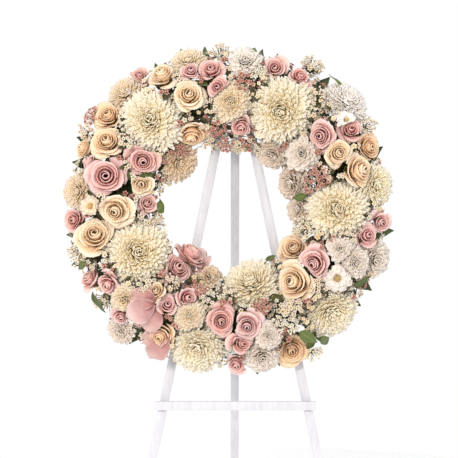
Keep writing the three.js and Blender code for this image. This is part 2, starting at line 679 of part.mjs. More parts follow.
// Leafy collar: one sprig of greenery along each quarter of the tray's rim, its leaves fanned outwards
const COLLAR_RADIUS = outerWall + 2.95;
const COLLAR_HEIGHT = 4;
const COLLAR_SPAN = THREE.MathUtils.degToRad(78);
const COLLAR_LEAVES = 9;
const SPRIG_RADIUS = 2;
function leafySprig(middleAngle) {
  const random = randomFrom(Math.round(middleAngle * 1000));
  const at = (angle, radius, height) =>
    new THREE.Vector3(radius * Math.sin(angle), radius * Math.cos(angle), height);
  const sections = [];
  for (let i = 0; i <= COLLAR_LEAVES; i++) {
    const angle = middleAngle + (i / COLLAR_LEAVES - 0.5) * COLLAR_SPAN;
    const corners = [[0, 1], [-1, 0], [0, -1], [1, 0]].map((corner) => corner.map((n) => n * SPRIG_RADIUS));
    sections.push(corners.map(([out, high]) => at(angle, COLLAR_RADIUS + out, COLLAR_HEIGHT + high)));
  }
  const middleOf = (section) => section[0].clone().add(section[2]).multiplyScalar(0.5);
  const runner = ringStack(sections, middleOf(sections[0]), middleOf(sections[COLLAR_LEAVES]));
  let made = solid(indexed(runner.points, runner.triangles));
  for (let i = 0; i < COLLAR_LEAVES; i++) {
    const angle = middleAngle + ((i + 0.5) / COLLAR_LEAVES - 0.5) * COLLAR_SPAN;
    const high = i % 2;
    const base = at(angle, COLLAR_RADIUS - 0.5, COLLAR_HEIGHT - 1.6 + 2 * high);
    const swing = (random() - 0.5) * 0.5;
    const direction = at(angle + swing, 1, 0.02 + 0.03 * high).normalize();
    const length = 58 + 16 * random();
    made = made.add(leafBlade(base, direction, up, length, length * 0.42, 2));
  }
  return made;
}

// Assembly

const wreath = new THREE.Group();
wreath.position.set(-HANG_OFFSET, -WREATH_DEPTH, FIT_GAP);
for (const node of nodes) wreath.add(mesh(node.name, node.material, flowerNode(node)));
["upper_right", "lower_right", "lower_left", "upper_left"].forEach((place, i) => {
  wreath.add(mesh("leafy_sprig_" + place, "greenery", leafySprig((i + 0.5) * (Math.PI / 2))));
});

let foam = foamRing();
for (const { start, end, direction } of holes) {
  foam = foam.subtract(stem(start, end.clone().addScaledVector(direction, 1), STEM_RADIUS + 0.5));
}
wreath.add(mesh("foam_ring", "foam", foam));
wreath.add(mesh("backing_tray", "tray", backingTray()));

const frontFrame = new THREE.Group();
frontFrame.applyMatrix4(leaning);
frontFrame.add(
  mesh("front_leg_left", "painted_wood", frontLeg(-1)),
  mesh("front_leg_right", "painted_wood", frontLeg(1)),
  mesh("crossbar", "painted_wood", crossbar()),
  mesh("header_block", "painted_wood", headerBlock()),
  mesh("hinge_leaf_fixed", "hinge_steel", fixedHingeLeaf()),
  mesh("hanging_wire", "hinge_steel", hangingWire(HOOK_RADIUS)),
  wreath,
);

const rearFrame = new THREE.Group();
rearFrame.applyMatrix4(rearMatrix);
rearFrame.add(
  mesh("rear_leg", "painted_wood", rearLeg()),
  mesh("hinge_leaf_moving", "hinge_steel", movingHingeLeaf()),
);

const standing = new THREE.Group();
standing.add(frontFrame, rearFrame);
standing.updateMatrixWorld(true);
const bounds = new THREE.Box3().setFromObject(standing, true);
const middle = bounds.getCenter(new THREE.Vector3());
standing.position.set(-middle.x, -middle.y, -bounds.min.z);

const object = new THREE.Group();
object.add(standing);

export default object;
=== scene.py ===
# %% [markdown]
# # A round wreath of roses and chrysanthemums on a white wooden easel
# The solid model gives the easel, the hinge, the foam ring and one plain solid for each bunch of
# flowers. This lesson puts real petals, buds and leaves in their place and gives every surface a
# finish. It starts with the solid model, which stays as it is.

import bmesh
import bpy
import numpy as np
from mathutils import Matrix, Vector


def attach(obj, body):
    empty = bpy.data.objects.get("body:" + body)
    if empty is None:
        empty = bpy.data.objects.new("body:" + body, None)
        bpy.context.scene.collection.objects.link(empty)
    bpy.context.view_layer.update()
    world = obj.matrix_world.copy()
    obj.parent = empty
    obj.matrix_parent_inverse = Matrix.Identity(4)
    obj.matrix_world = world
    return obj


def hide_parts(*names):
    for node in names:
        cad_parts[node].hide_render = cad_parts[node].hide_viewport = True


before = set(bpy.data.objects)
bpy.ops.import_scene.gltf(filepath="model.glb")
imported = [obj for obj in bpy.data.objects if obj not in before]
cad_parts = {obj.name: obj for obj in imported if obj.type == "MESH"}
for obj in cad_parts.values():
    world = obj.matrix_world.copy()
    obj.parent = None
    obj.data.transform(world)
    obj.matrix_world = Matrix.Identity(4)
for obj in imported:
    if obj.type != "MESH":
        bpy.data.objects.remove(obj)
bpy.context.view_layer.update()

# %% [markdown]
# ## The wreath's own frame
# A florist lays a wreath flat on the bench: X to the right, Y up its face, Z towards the viewer, and
# the origin at the ring's centre on the tray's back. Everything is shaped there and carried to the
# easel at the very end, because a flower is far easier to describe lying flat.

# %% From the bench to the easel
LEAN = np.radians(8)
RIGHT = np.array([1.0, 0, 0])
UP_FACE = np.array([0, np.sin(LEAN), np.cos(LEAN)])
OUT = np.array([0, -np.cos(LEAN), np.sin(LEAN)])
WREATH = np.array([-0.0015737, -0.139069, 0.921961])


def on_easel(points):
    """A point's place: the wreath's centre plus x along RIGHT, y along UP_FACE and z along OUT."""
    return WREATH + np.asarray(points) @ np.stack([RIGHT, UP_FACE, OUT])


# %% [markdown]
# ## Thin sheets
# A petal or a leaf is a sheet a fraction of a millimetre thick. It could be a single layer of faces
# with a Solidify modifier, but hundreds of petals in one mesh are quicker as whole arrays: the middle
# surface is a grid of points, and the two skins lie half a thickness to each side of it.

# %% Closed sheets
def unit(vectors):
    """Each vector divided by its own length."""
    return vectors / (np.linalg.norm(vectors, axis=-1, keepdims=True) + 1e-12)


def closed_sheets(middle, thickness):
    """Thin closed shells from grids of points (sheet, along, across, xyz). The normal is the cross
    product of the steps along and across; each skin is the middle moved half the thickness along it,
    and a strip of flat faces runs round the rim."""
    normal = unit(np.cross(np.gradient(middle, axis=1), np.gradient(middle, axis=2)))
    half = normal * thickness / 2
    shell = np.stack([middle + half, middle - half], axis=1)
    count, _, along, across, _ = shell.shape
    upper, under = np.arange(2 * along * across).reshape(2, along, across)
    face = lambda a, b, c, d: np.stack([a, b, c, d], -1).reshape(-1, 4)
    skins = [face(upper[:-1, :-1], upper[1:, :-1], upper[1:, 1:], upper[:-1, 1:]),
             face(under[:-1, :-1], under[:-1, 1:], under[1:, 1:], under[1:, :-1])]
    loop = lambda g: np.concatenate([g[:-1, 0], g[-1, :-1], g[:0:-1, -1], g[0, :0:-1]])
    above, below = loop(upper), loop(under)
    rim = face(below, np.roll(below, -1), np.roll(above, -1), above)
    faces = np.concatenate([*skins, rim])
    flat = np.arange(len(faces)) >= len(faces) - len(rim)
    faces = faces + (np.arange(count) * 2 * along * across)[:, None, None]
    return shell.reshape(-1, 3), faces.reshape(-1, 4), np.tile(flat, count)


def on_both_skins(values):
    """The same values (sheet, along, across, number) for the upper and the under skin."""
    return np.stack([values, values], axis=1).reshape(-1, values.shape[-1])


# %% [markdown]
# ## Stalks and buds
# A stalk is a circle carried along a path, and a bud is the same thing with a radius that swells and
# closes. One function makes both; only the radius along the path differs.

# %% Closed tubes
def closed_tubes(paths, radii, sides=6):
    """Tubes from paths (tube, step, xyz) and radii (tube, step). A ring's point is the path's point
    plus radius * (cos side + sin other), where side and other stand square to the path. The ends
    are closed with flat faces."""
    paths = np.asarray(paths, float)
    count, steps, _ = paths.shape
    ahead = unit(np.gradient(paths, axis=1))
    least = np.eye(3)[np.argmin(np.abs(ahead.mean(axis=1)), axis=1)][:, None]
    side = unit(np.cross(ahead, least))
    other = np.cross(ahead, side)
    turn = np.arange(sides) / sides * 2 * np.pi
    ring = np.cos(turn)[:, None] * side[:, :, None] + np.sin(turn)[:, None] * other[:, :, None]
    points = paths[:, :, None] + ring * np.asarray(radii)[:, :, None, None]
    index = np.arange(steps * sides).reshape(steps, sides)
    nxt = np.roll(index, -1, axis=1)
    wall = np.stack([index[:-1], nxt[:-1], nxt[1:], index[1:]], -1).reshape(-1, 4)
    fan = np.array([[0, k, k + 1, k + 2] for k in range(1, sides - 2, 2)])
    faces = np.concatenate([wall, index[0][fan][:, ::-1], index[-1][fan]])
    faces = (faces + (np.arange(count) * steps * sides)[:, None, None]).reshape(-1, 4)
    return points.reshape(-1, 3), faces, np.zeros(len(faces), bool)


# %% [markdown]
# ## From arrays to a piece
# Each piece is one mesh made from several batches. Its place on the easel is in its points, and two
# attributes travel with them for the finishes: "petal" holds how far along the petal a point lies,
# how far across, and how far out the petal sits in its flower; "flower" holds the flower's own tint.

# %% Make a piece
def put(name, data):
    """A new object with the given data, linked to the scene."""
    made = bpy.data.objects.new(name, data)
    bpy.context.collection.objects.link(made)
    return made


def make_piece(name, batches, finish, replaces=()):
    """One mesh from batches of (points, faces, flat, petal values, flower values)."""
    places, faces, flats, petal, flower, start = [], [], [], [], [], 0
    for points, quads, flat, petal_values, flower_values in batches:
        places.append(points)
        faces.append(quads + start)
        flats.append(flat)
        petal.append(np.broadcast_to(petal_values, points.shape))
        flower.append(np.broadcast_to(flower_values, points.shape))
        start += len(points)
    places, faces, flats = np.concatenate(places), np.concatenate(faces), np.concatenate(flats)
    mesh = bpy.data.meshes.new(name)
    mesh.vertices.add(len(places))
    mesh.vertices.foreach_set("co", on_easel(places).ravel())
    mesh.loops.add(faces.size)
    mesh.loops.foreach_set("vertex_index", faces.ravel())
    mesh.polygons.add(len(faces))
    mesh.polygons.foreach_set("loop_start", np.arange(0, faces.size, 4))
    mesh.update(calc_edges=True)
    mesh.attributes.new("sharp_face", "BOOLEAN", "FACE").data.foreach_set("value", flats)
    for label, values in (("petal", petal), ("flower", flower)):
        data = mesh.attributes.new(label, "FLOAT_VECTOR", "POINT").data
        data.foreach_set("vector", np.concatenate(values).astype(np.float32).ravel())
    piece = put(name, mesh)
    mesh.materials.append(finish)
    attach(piece, "front_frame")
    if replaces:
        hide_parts(*replaces)
    print(name, len(faces), "faces")


# %% [markdown]
# ## Writing a finish
# Blender's nodes can be joined by hand, but a formula is easier to read. A small class wraps an output
# socket, so that 1 - mask or noise * 0.2 adds the Math nodes itself. Colours go through Mix nodes,
# because a Math node would turn them grey.

# %% Colours and sockets as numbers
def rgb(code, alpha=1.0):
    """A colour such as "e8b4b8" as the linear numbers that Blender works with."""
    shown = np.array([int(code[i:i + 2], 16) for i in (0, 2, 4)]) / 255
    linear = np.where(shown <= 0.04045, shown / 12.92, ((shown + 0.055) / 1.055) ** 2.4)
    return (*linear.tolist(), alpha)


class Wire:
    """An output socket that takes part in sums."""

    def __init__(self, finish, socket):
        self.finish, self.socket = finish, socket

    def maths(self, operation, *values):
        return self.finish.node("ShaderNodeMath", {"operation": operation}, dict(enumerate(values)))

    def __add__(self, other): return self.maths("ADD", self, other)
    def __mul__(self, other): return self.maths("MULTIPLY", self, other)
    def __sub__(self, other): return self.maths("SUBTRACT", self, other)
    def __rsub__(self, other): return self.maths("SUBTRACT", other, self)
    __radd__, __rmul__ = __add__, __mul__

    def spread(self, low, high, to_low=0.0, to_high=1.0):
        """The value stretched from one range to another, and held inside it."""
        ends = {"From Min": low, "From Max": high, "To Min": to_low, "To Max": to_high}
        return self.finish.node("ShaderNodeMapRange", {}, {"Value": self, **ends})

    def mixed(self, first, second, blend="MIX"):
        """first where the value is 0, second where it is 1."""
        made = {"data_type": "RGBA", "blend_type": blend, "clamp_factor": True}
        return self.finish.node("ShaderNodeMix", made, {0: self, 6: first, 7: second}, 2)


# %% A finish being written
class Finish:
    """A material being written, with its Principled shader at hand."""

    def __init__(self, name, **shader_values):
        self.material = bpy.data.materials.new(name)
        self.material.use_nodes = True
        self.tree = self.material.node_tree
        self.shader = self.tree.nodes["Principled BSDF"]
        for socket, value in shader_values.items():
            self.shader.inputs[socket.replace("_", " ")].default_value = value

    def node(self, kind, settings=None, values=None, out=0):
        """Adds a node: its settings first, then its sockets' values or links."""
        made = self.tree.nodes.new(kind)
        for key, value in (settings or {}).items():
            if key == "stops":
                stops = made.color_ramp.elements
                while len(stops) < len(value):
                    stops.new(0.5)
                for stop, (place, colour) in zip(stops, value):
                    stop.position, stop.color = place, colour
            else:
                setattr(made, key, value)
        for key, value in (values or {}).items():
            if isinstance(value, Wire):
                self.tree.links.new(value.socket, made.inputs[key])
            else:
                made.inputs[key].default_value = value
        return Wire(self, made.outputs[out])

    def parts(self, attribute):
        """The three numbers of a mesh attribute."""
        read = self.node("ShaderNodeAttribute", {"attribute_name": attribute}, out=1)
        split = self.node("ShaderNodeSeparateXYZ", {}, {0: read}).socket.node
        return [Wire(self, socket) for socket in split.outputs]

    def place(self, x=1.0, y=1.0, z=1.0):
        """The point's place on the object, stretched along each axis."""
        read = self.node("ShaderNodeTexCoord", out=3)
        return self.node("ShaderNodeVectorMath", {"operation": "MULTIPLY"}, {0: read, 1: (x, y, z)})

    def noise(self, at, scale, detail=2.0, roughness=0.5):
        return self.node("ShaderNodeTexNoise", {}, {
            "Vector": at, "Scale": scale, "Detail": detail, "Roughness": roughness})

    def set(self, colour=None, roughness=None, height=None, depth=0.001, metallic=None):
        for socket, wire in (("Base Color", colour), ("Roughness", roughness), ("Metallic", metallic)):
            if wire is not None:
                self.tree.links.new(wire.socket, self.shader.inputs[socket])
        if height is not None:
            bump = self.node("ShaderNodeBump", {}, {"Height": height, "Distance": depth})
            self.tree.links.new(bump.socket, self.shader.inputs["Normal"])
        return self.material


# %% [markdown]
# ## Petal finishes
# A rose is deepest in colour at its heart and palest at the rims of its outer petals; a chrysanthemum
# is straw yellow in the middle and ivory at the tips. Both are one rule: a colour ramp read by how far
# out a point lies and how far along its petal, so the petals' feet, down between the petals, also get
# painted shade. Fine veins run along the petal, the rim is lighter as a paler edge and a painted
# highlight, and each flower has a tint of its own, which on the smaller flowers is painted shade by place.

# %% One rule for all petals
TINT_STRENGTH = 0.55


def petal_finish(name, stops, rim, rim_share=0.5, along_share=0.35, tint=("f3c9b8", "fff6ee"),
                 roughness=0.62, soft=0.35):
    """Colour = ramp(out + along), with painted shade at the petals' feet, lightened towards the rim (the
    petal's paler edge and a painted highlight), times the flower's own tint.
    """
    f = Finish(name, Roughness=roughness, Subsurface_Weight=soft, Subsurface_Scale=0.002,
               Subsurface_Radius=(1.0, 0.75, 0.4), Specular_IOR_Level=0.3)
    along, across, ring = f.parts("petal")
    own, tone_and_painted_shade, _ = f.parts("flower")
    mottle = f.noise(f.place(), 160.0, 3.0)
    # The ramp also runs along the petal: the feet, down between the petals, are painted shade as well as the
    # petal's own greener base.
    depth = ring * (1 - along_share) + along * along_share + (mottle - 0.5) * 0.14
    ramp = [(place, rgb(code)) for place, code in stops]
    body = f.node("ShaderNodeValToRGB", {"stops": ramp}, {0: depth + (own - 0.5) * 0.12})
    # Paler rim: partly the petal's own paler edge, partly a painted highlight.
    pale_rim_and_highlight = (along.spread(0.72, 1.0) + (across * across).spread(0.6, 1.0) * 0.6) * rim_share
    body = pale_rim_and_highlight.mixed(body, rgb(rim))
    # Tint: random tone for roses and sprays; painted light and shade by place for the smaller flowers.
    shade = tone_and_painted_shade.mixed(rgb(tint[0]), rgb(tint[1]))
    body = f.node("ShaderNodeMix", {"data_type": "RGBA", "blend_type": "MULTIPLY"},
                  {0: TINT_STRENGTH, 6: body, 7: shade}, 2)
    line = f.node("ShaderNodeCombineXYZ", {}, {0: across * 9.0, 1: along * 1.4, 2: own * 40.0})
    veins = f.noise(line, 3.2, 2.0)
    body = veins.spread(0.35, 0.7, 0.0, 0.14).mixed(body, rgb(stops[1][1]), "MULTIPLY")
    return f.set(colour=body, roughness=mottle.spread(0.3, 0.7, roughness - 0.1, roughness + 0.1),
                 height=veins + mottle * 0.4, depth=0.0006)


# %% Petal colours, from the heart outwards
# The first stops colour the hearts and the petals' feet; on the feet their darker tone is painted shade.
PINK = petal_finish("pink rose petal", [
    (0.0, "7c2238"), (0.13, "b85862"), (0.3, "de9698"), (0.52, "eec6c2"), (1.0, "f4dcd8")], "f8e8e3",
    rim_share=0.7, along_share=0.5, tint=("f5c8bd", "fff4f6"))
PEACH = petal_finish("peach rose petal", [
    (0.0, "c48746"), (0.13, "eec690"), (0.3, "fbdfb6"), (0.52, "fae2c8"), (1.0, "fae8d8")], "fdf0e0",
    rim_share=0.7, along_share=0.5, tint=("f8d6b4", "fffaee"))
CREAM = petal_finish("cream chrysanthemum petal", [
    (0.0, "f0d48c"), (0.2, "fce8ae"), (0.42, "fff2cc"), (0.7, "fff8e2"), (1.0, "fffbf0")], "fffef8",
    along_share=0.62, tint=("dfb8a2", "fff8ee"), roughness=0.7, soft=0.15)
WHITE = petal_finish("white petal", [
    (0.0, "dcc98c"), (0.1, "f4e8cc"), (0.35, "fdf6ec"), (0.7, "fffaf4"), (1.0, "fffdfc")], "ffffff",
    along_share=0.7, tint=("d6b69a", "fffaf8"), roughness=0.68, soft=0.15)
MAUVE = petal_finish("mauve blossom", [
    (0.0, "6e4c34"), (0.25, "b07c70"), (0.5, "cc988c"), (0.75, "dab0a4"), (1.0, "e6c6bc")], "ecd4cc",
    along_share=0.8)
DUSTY = petal_finish("overblown rose petal", [
    (0.0, "8e605e"), (0.3, "b48682"), (0.55, "c8a29e"), (0.8, "d4b4b0"), (1.0, "e2cac4")], "ecdad4",
    rim_share=0.8, along_share=0.9, tint=("ecc8c4", "fff4f6"), soft=0.12)
BUD = petal_finish("cream bud", [
    (0.0, "948a48"), (0.2, "dfd2a4"), (0.45, "f7efd8"), (0.8, "fffaee"), (1.0, "fffdf6")], "fffef8",
    along_share=0.9, roughness=0.55)
print("petal finishes:", len(bpy.data.materials))

# %% [markdown]
# ## Leaf and stalk finishes
# A leaf is leathery, darker than its veins, and a little dusty. The veins are drawn from the leaf's
# own measure: a midrib where across is near 0, and side veins that slant back from it.

# %% Leaves and stalks
def leaf_finish(name, dark, light, vein, roughness=0.42):
    """Colour = dark to light by the leaf's tint and a mottle, with a pale midrib and side veins."""
    f = Finish(name, Roughness=roughness, Specular_IOR_Level=0.45, Subsurface_Weight=0.06,
               Subsurface_Scale=0.002)
    along, across, _ = f.parts("petal")
    own, _, _ = f.parts("flower")
    mottle = f.noise(f.place(), 110.0, 3.0)
    away = f.node("ShaderNodeMath", {"operation": "ABSOLUTE"}, {0: across})
    body = (own * 0.7 + mottle * 0.6 - 0.15).mixed(rgb(dark), rgb(light))
    midrib = 1 - away.spread(0.02, 0.12)
    slant = (along - away * 0.35) * 44.0
    side = f.node("ShaderNodeMath", {"operation": "SINE"}, {0: slant}).spread(0.8, 1.0)
    pattern = midrib + side * 0.45
    body = (pattern * 0.55).mixed(body, rgb(vein))
    return f.set(colour=body, roughness=mottle.spread(0.3, 0.7, roughness - 0.08, roughness + 0.15),
                 height=mottle * 0.5 - pattern * 0.6, depth=0.0008)


# The gap leaves are kept very dark: partly their own dark green, partly painted shade for the gaps.
GAP_LEAF_WITH_PAINTED_SHADE = leaf_finish("gap leaf darkened as painted shade", "20260f", "565428", "7f7d4a")
COLLAR_LEAF = leaf_finish("collar leaf", "26361c", "54673a", "7d8c55")
BROAD_LEAF = leaf_finish("broad leaf", "2f3f1a", "6f7d3a", "98a060", 0.36)


def stalk_finish():
    f = Finish("olive stalk", Specular_IOR_Level=0.35)
    long = f.noise(f.place(), 90.0, 3.0)
    return f.set(colour=long.spread(0.3, 0.7).mixed(rgb("4c4a22"), rgb("8d8450")),
                 roughness=long.spread(0.2, 0.8, 0.5, 0.75), height=long, depth=0.0006)


STALK = stalk_finish()
print("finishes:", len(bpy.data.materials))

# %% [markdown]
# ## The flowers' plan
# A florist works from a sketch of the front. Each entry is a bunch on one stem: the kind of flower,
# its place right and down on the sketch, its size there, and a lift. The bunches, places and sizes are
# the solid model's; the small open flowers are split here into daisies and frilled heads.

# %% The plan
PLAN = {
    "cream_petals": {
        "chrysanthemum_upper_left": [("mum", 151, 121, 31), ("mum", 125, 93, 20), ("mum", 179, 161, 19)],
        "chrysanthemum_top_right": [("mum", 281, 112, 33), ("mum", 231, 103, 19)],
        "chrysanthemum_right": [("mum", 337, 210, 30), ("mum", 376, 184, 20)],
        "chrysanthemum_left": [("mum", 138, 253, 32), ("frill", 126, 299, 12)],
        "chrysanthemum_bottom_middle": [("mum", 251, 285, 30), ("frill", 210, 277, 12)],
        "chrysanthemum_lower_right": [("mum", 331, 312, 26)],
        "chrysanthemum_bottom_left": [("mum", 198, 346, 27), ("mum", 190, 315, 15)],
        "chrysanthemum_left_edge": [("mum", 79, 191, 18), ("daisy", 92, 207, 9)],
        "chrysanthemum_top_edge": [("mum", 188, 62, 18)]},
    "white_petals": {
        "chrysanthemum_right_shoulder": [("mum", 347, 100, 22), ("daisy", 346, 121, 9)],
        "white_daisy_top": [("frill", 246, 62, 14)],
        "white_daisies_inner_right": [("frill", 273, 153, 14), ("frill", 302, 154, 14),
                                      ("frill", 293, 183, 15), ("frill", 299, 208, 12)],
        "white_daisies_bottom": [("frill", 268, 334, 11), ("frill", 262, 356, 15)],
        "white_daisies_lower_right": [("frill", 374, 259, 15), ("frill", 354, 262, 13),
                                      ("daisy", 336, 278, 12), ("frill", 339, 249, 11)],
        "white_daisy_bottom_left_edge": [("frill", 119, 332, 11)]},
    "pink_petals": {
        "pink_roses_top_left": [("rose", 191, 72, 12), ("rose", 211, 72, 13), ("rose", 218, 89, 12)],
        "pink_rose_inner_top": [("rose", 242, 125, 13)],
        "pink_roses_top_right": [("rose", 275, 69, 13), ("rose", 299, 78, 12)],
        "pink_roses_right_shoulder": [("rose", 321, 137, 16), ("rose", 350, 131, 12)],
        "pink_rose_inner_left": [("rose", 143, 161, 17)],
        "pink_roses_left": [("rose", 107, 177, 20), ("rose", 91, 163, 12, -10)],
        "pink_rose_by_the_hole": [("rose", 147, 203, 11)],
        "pink_rose_left_edge": [("rose", 75, 220, 13)],
        "pink_roses_lower_left_edge": [("rose", 90, 279, 12), ("rose", 110, 283, 13)],
        "pink_roses_inner_lower_left": [("rose", 176, 269, 18), ("rose", 189, 256, 17, -10)],
        "pink_roses_lower_left": [("rose", 168, 305, 11), ("rose", 187, 298, 12)],
        "pink_roses_bottom": [("rose", 221, 321, 15), ("rose", 247, 325, 15), ("rose", 241, 342, 12),
                              ("rose", 237, 363, 12)],
        "pink_rose_lower_right": [("rose", 314, 264, 17)],
        "pink_roses_right_edge": [("rose", 365, 236, 13), ("rose", 381, 222, 11)],
        "pink_rose_top_left_edge": [("rose", 139, 75, 11)],
        "pink_roses_bottom_left_edge": [("rose", 122, 316, 11), ("rose", 143, 317, 15, -6)]},
    "peach_petals": {
        "peach_roses_top_left": [("rose", 163, 76, 16), ("rose", 189, 97, 17)],
        "peach_roses_upper_left_edge": [("rose", 109, 116, 17), ("rose", 108, 143, 18),
                                        ("rose", 84, 148, 12)],
        "peach_rose_inner_upper_left": [("rose", 191, 133, 17)],
        "peach_roses_left": [("rose", 117, 211, 18), ("rose", 96, 236, 20)],
        "peach_rose_inner_left": [("rose", 142, 184, 13)],
        "peach_roses_right": [("rose", 337, 154, 15), ("rose", 357, 172, 19), ("rose", 368, 147, 15)],
        "peach_roses_lower_right": [("rose", 295, 282, 21), ("rose", 295, 249, 17)],
        "peach_rose_lower_left": [("rose", 157, 291, 11)],
        "peach_rose_bottom_left_edge": [("rose", 162, 334, 15), ("rose", 157, 347, 13, -8)],
        "peach_rose_bottom_edge": [("rose", 292, 349, 16)]},
    "bud_spray": {
        "bud_spray_bottom": [("spray", 284, 323, 12), ("spray", 292, 307, 9)],
        "bud_spray_top_right": [("spray", 313, 65, 11)],
        "bud_spray_left_edge": [("spray", 78, 254, 11)],
        "bud_spray_inner_right": [("spray", 304, 227, 11)]},
    "mauve_blossoms": {
        "blossom_spray_right": [("spray", 318, 181, 14)]},
}

# %% [markdown]
# ## Where each head sits
# The flowers crowd over the ring like a cushion. A head's place on the sketch says how far it leans
# outwards, and where two heads meet, both are pressed flat against the plane between them. The solid
# model uses the same rule, so the petals fill the same shapes. A head with a lift below 0 lies behind
# another and nods away from the ring, so that its broad outer petals show.

# %% Measures of the ring and of the heads
UNIT = 0.0019  # metres for one step of the sketch
MIDDLE_RIGHT, MIDDLE_DOWN = 228, 208  # the ring's centre on the sketch
RING_RADIUS = 0.218
REACH = 0.100  # the flowers' surface lies this far round the ring's core line
CORE_HEIGHT = 0.020
FLOWER_BACK = 0.0165
FOAM_INNER, FOAM_OUTER, FOAM_TOP, FOAM_CORNER = 0.1863, 0.2497, 0.047, 0.012
FULLNESS = {"small mum": 1.15, "mum": 1.12, "rose": 1.28, "daisy": 1.35, "frill": 1.35, "spray": 1.3}
TILT_SHARE = 0.5  # how far the heads turn with the cushion's surface, from the front
TOP = {"mum": 0.52, "rose": 0.6, "daisy": 0.4, "frill": 0.4, "spray": 0.6}
FLAT = {"mum": 0.66, "rose": 0.9, "daisy": 0.62, "frill": 0.62, "spray": 1.0}
SMALL_ROSE, SMALL_MUM, FULL_MUM = 14.5, 22, 32  # sizes on the sketch


def on_bench(right, down):
    """A place on the sketch in metres from the ring's centre."""
    return np.stack([(right - MIDDLE_RIGHT) * UNIT, (MIDDLE_DOWN - down) * UNIT], -1)


# %% One head
class Head:
    """One flower: its middle, its axis and its radius in metres."""

    def __init__(self, kind, x, y, size, lift=0.0, deep=0.0):
        full = FULLNESS["small mum" if kind == "mum" and size < SMALL_MUM else kind]
        self.kind, self.size, self.radius = kind, size, size * UNIT * full
        flat = on_bench(x, y)
        away = np.hypot(*flat)
        reach = REACH - TOP[kind] * self.radius - deep
        sine = np.clip((away - RING_RADIUS) / reach, -0.96, 0.96)
        tilt = TILT_SHARE * np.arcsin(sine)
        height = CORE_HEIGHT + reach * np.sqrt(1 - sine ** 2) + lift * 0.001
        self.middle = np.array([*flat, max(height, FLOWER_BACK + 0.6 * self.radius)])
        self.axis = np.array([*(flat / away * np.sin(tilt)), np.cos(tilt)])
        self.seed = int(x) * 1000 + int(y)
        nod = np.random.default_rng(self.seed + 3).normal(size=3) * (0.2 if kind == "rose" else 0.07)
        beside = np.array([*(flat / away * np.sign(away - RING_RADIUS)), 0.0])
        self.face = unit(self.axis + nod) if lift >= 0 else unit(self.axis * 0.45 + beside)

    def find_walls(self, heads, loose=0.10):
        """The planes between this head and its neighbours, with those towards the back and foam.
        Petals may go past a plane between heads by loose times the smaller radius."""
        normals, distances = [], []
        for other in heads:
            towards = other.middle - self.middle
            apart = np.linalg.norm(towards)
            both = self.radius + other.radius
            if other is self or apart > both or apart < 1e-6:
                continue
            even = (apart ** 2 + self.radius ** 2 - other.radius ** 2) / (2 * apart)
            least = 0.35 * apart * self.radius / both
            most = apart - 0.35 * apart * other.radius / both
            normals.append(towards / apart)
            distances.append(np.clip(even, least, most) + loose * min(self.radius, other.radius))
        normals.append(np.array([0.0, 0.0, -1.0]))
        distances.append(self.middle[2] - FLOWER_BACK)
        rho = np.hypot(*self.middle[:2])
        near = np.clip(rho, FOAM_INNER + FOAM_CORNER, FOAM_OUTER - FOAM_CORNER) / rho
        near = np.array([*(self.middle[:2] * near), min(self.middle[2], FOAM_TOP - FOAM_CORNER)])
        to_foam = np.linalg.norm(near - self.middle)
        normals.append((near - self.middle) / to_foam)
        distances.append(to_foam - FOAM_CORNER - 0.002)
        self.walls = np.array(normals), np.array(distances)

    def pressed(self, points, spin=0.0):
        """Points of a unit flower (its face along z), turned by spin, scaled by the radius and drawn
        in towards the middle where a wall is in the way, with a soft corner between walls."""
        side = unit(np.cross([0.0, 1.0, 0.0], self.face))
        across = np.cross(self.face, side)
        turned = side * np.cos(spin) + across * np.sin(spin)
        offset = (points * self.radius) @ np.stack([turned, np.cross(self.face, turned), self.face])
        direction = unit(offset)
        along = direction @ self.axis
        free = self.radius / np.sqrt(1 - along ** 2 + (along / FLAT[self.kind]) ** 2)
        facing = direction @ self.walls[0].T
        room = self.walls[1] / np.maximum(facing, 1e-3) / free[..., None]
        scale = (1 + np.sum(np.maximum(room, 0.2) ** -9.0, axis=-1)) ** (-1 / 9)
        return self.middle + offset * scale[..., None]


# %% Place and press the heads
bunches = {name: (slot, [Head(*head) for head in heads])
           for slot, group in PLAN.items() for name, heads in group.items()}
all_heads = [head for _, heads in bunches.values() for head in heads]
for head in all_heads:
    head.find_walls(all_heads)
print("bunches:", len(bunches), "heads:", len(all_heads))

# %% [markdown]
# ## What all petals share
# Every kind of petal is a grid of points: t runs along it from 0 to 1 and a across it from -1 to 1.
# A petal's chance numbers are drawn once for the whole petal, and its points are laid out round the
# flower's axis.

# %% Grid, chance and layout
GOLDEN_ANGLE = 2.39996
BLOSSOM_THICK, LEAF_THICK = 0.0004, 0.0006


def grid(steps, columns):
    """t along and a across, shaped (petal, along, across)."""
    return np.linspace(0, 1, steps)[None, :, None], np.linspace(-1, 1, columns)[None, None, :]


def chance(rng, count):
    """A rule that draws one number between two limits for each petal."""
    return lambda low, high: rng.uniform(low, high, count)[:, None, None]


def swelling(t, until):
    """From 0 at the foot to 1 at until: sin(pi/2 t/until)."""
    return np.sin(np.minimum(t / until, 1) * np.pi / 2)


def round_tip(t, start, span, least):
    """From 1 at start down to a narrow tip: sqrt(1 - u^2) with u = (t - start) / span."""
    return np.sqrt(np.clip(1 - np.clip((t - start) / span, 0, 1) ** 2, least, 1))


def round_axis(turn, out, beside, rise, looks):
    """Points at a distance out from the axis towards turn, moved beside that line, and at a height
    of rise, with the petal values (along, across, place in the flower) spread to the same shape."""
    x = out * np.cos(turn) - beside * np.sin(turn)
    y = out * np.sin(turn) + beside * np.cos(turn)
    points = np.stack(np.broadcast_arrays(x, y, rise), axis=-1)
    return points, np.stack(np.broadcast_arrays(*looks, x)[:3], axis=-1)


# %% [markdown]
# ## A rose
# A garden rose opens from a tight spiral. Each petal is a piece of a cup: it starts low near the
# middle, swells outwards and ends in a rim that rolls back. The inner petals stand and wrap far
# round; the outer ones lie open. Petals follow each other by 2.4 radians, as they do on the plant.

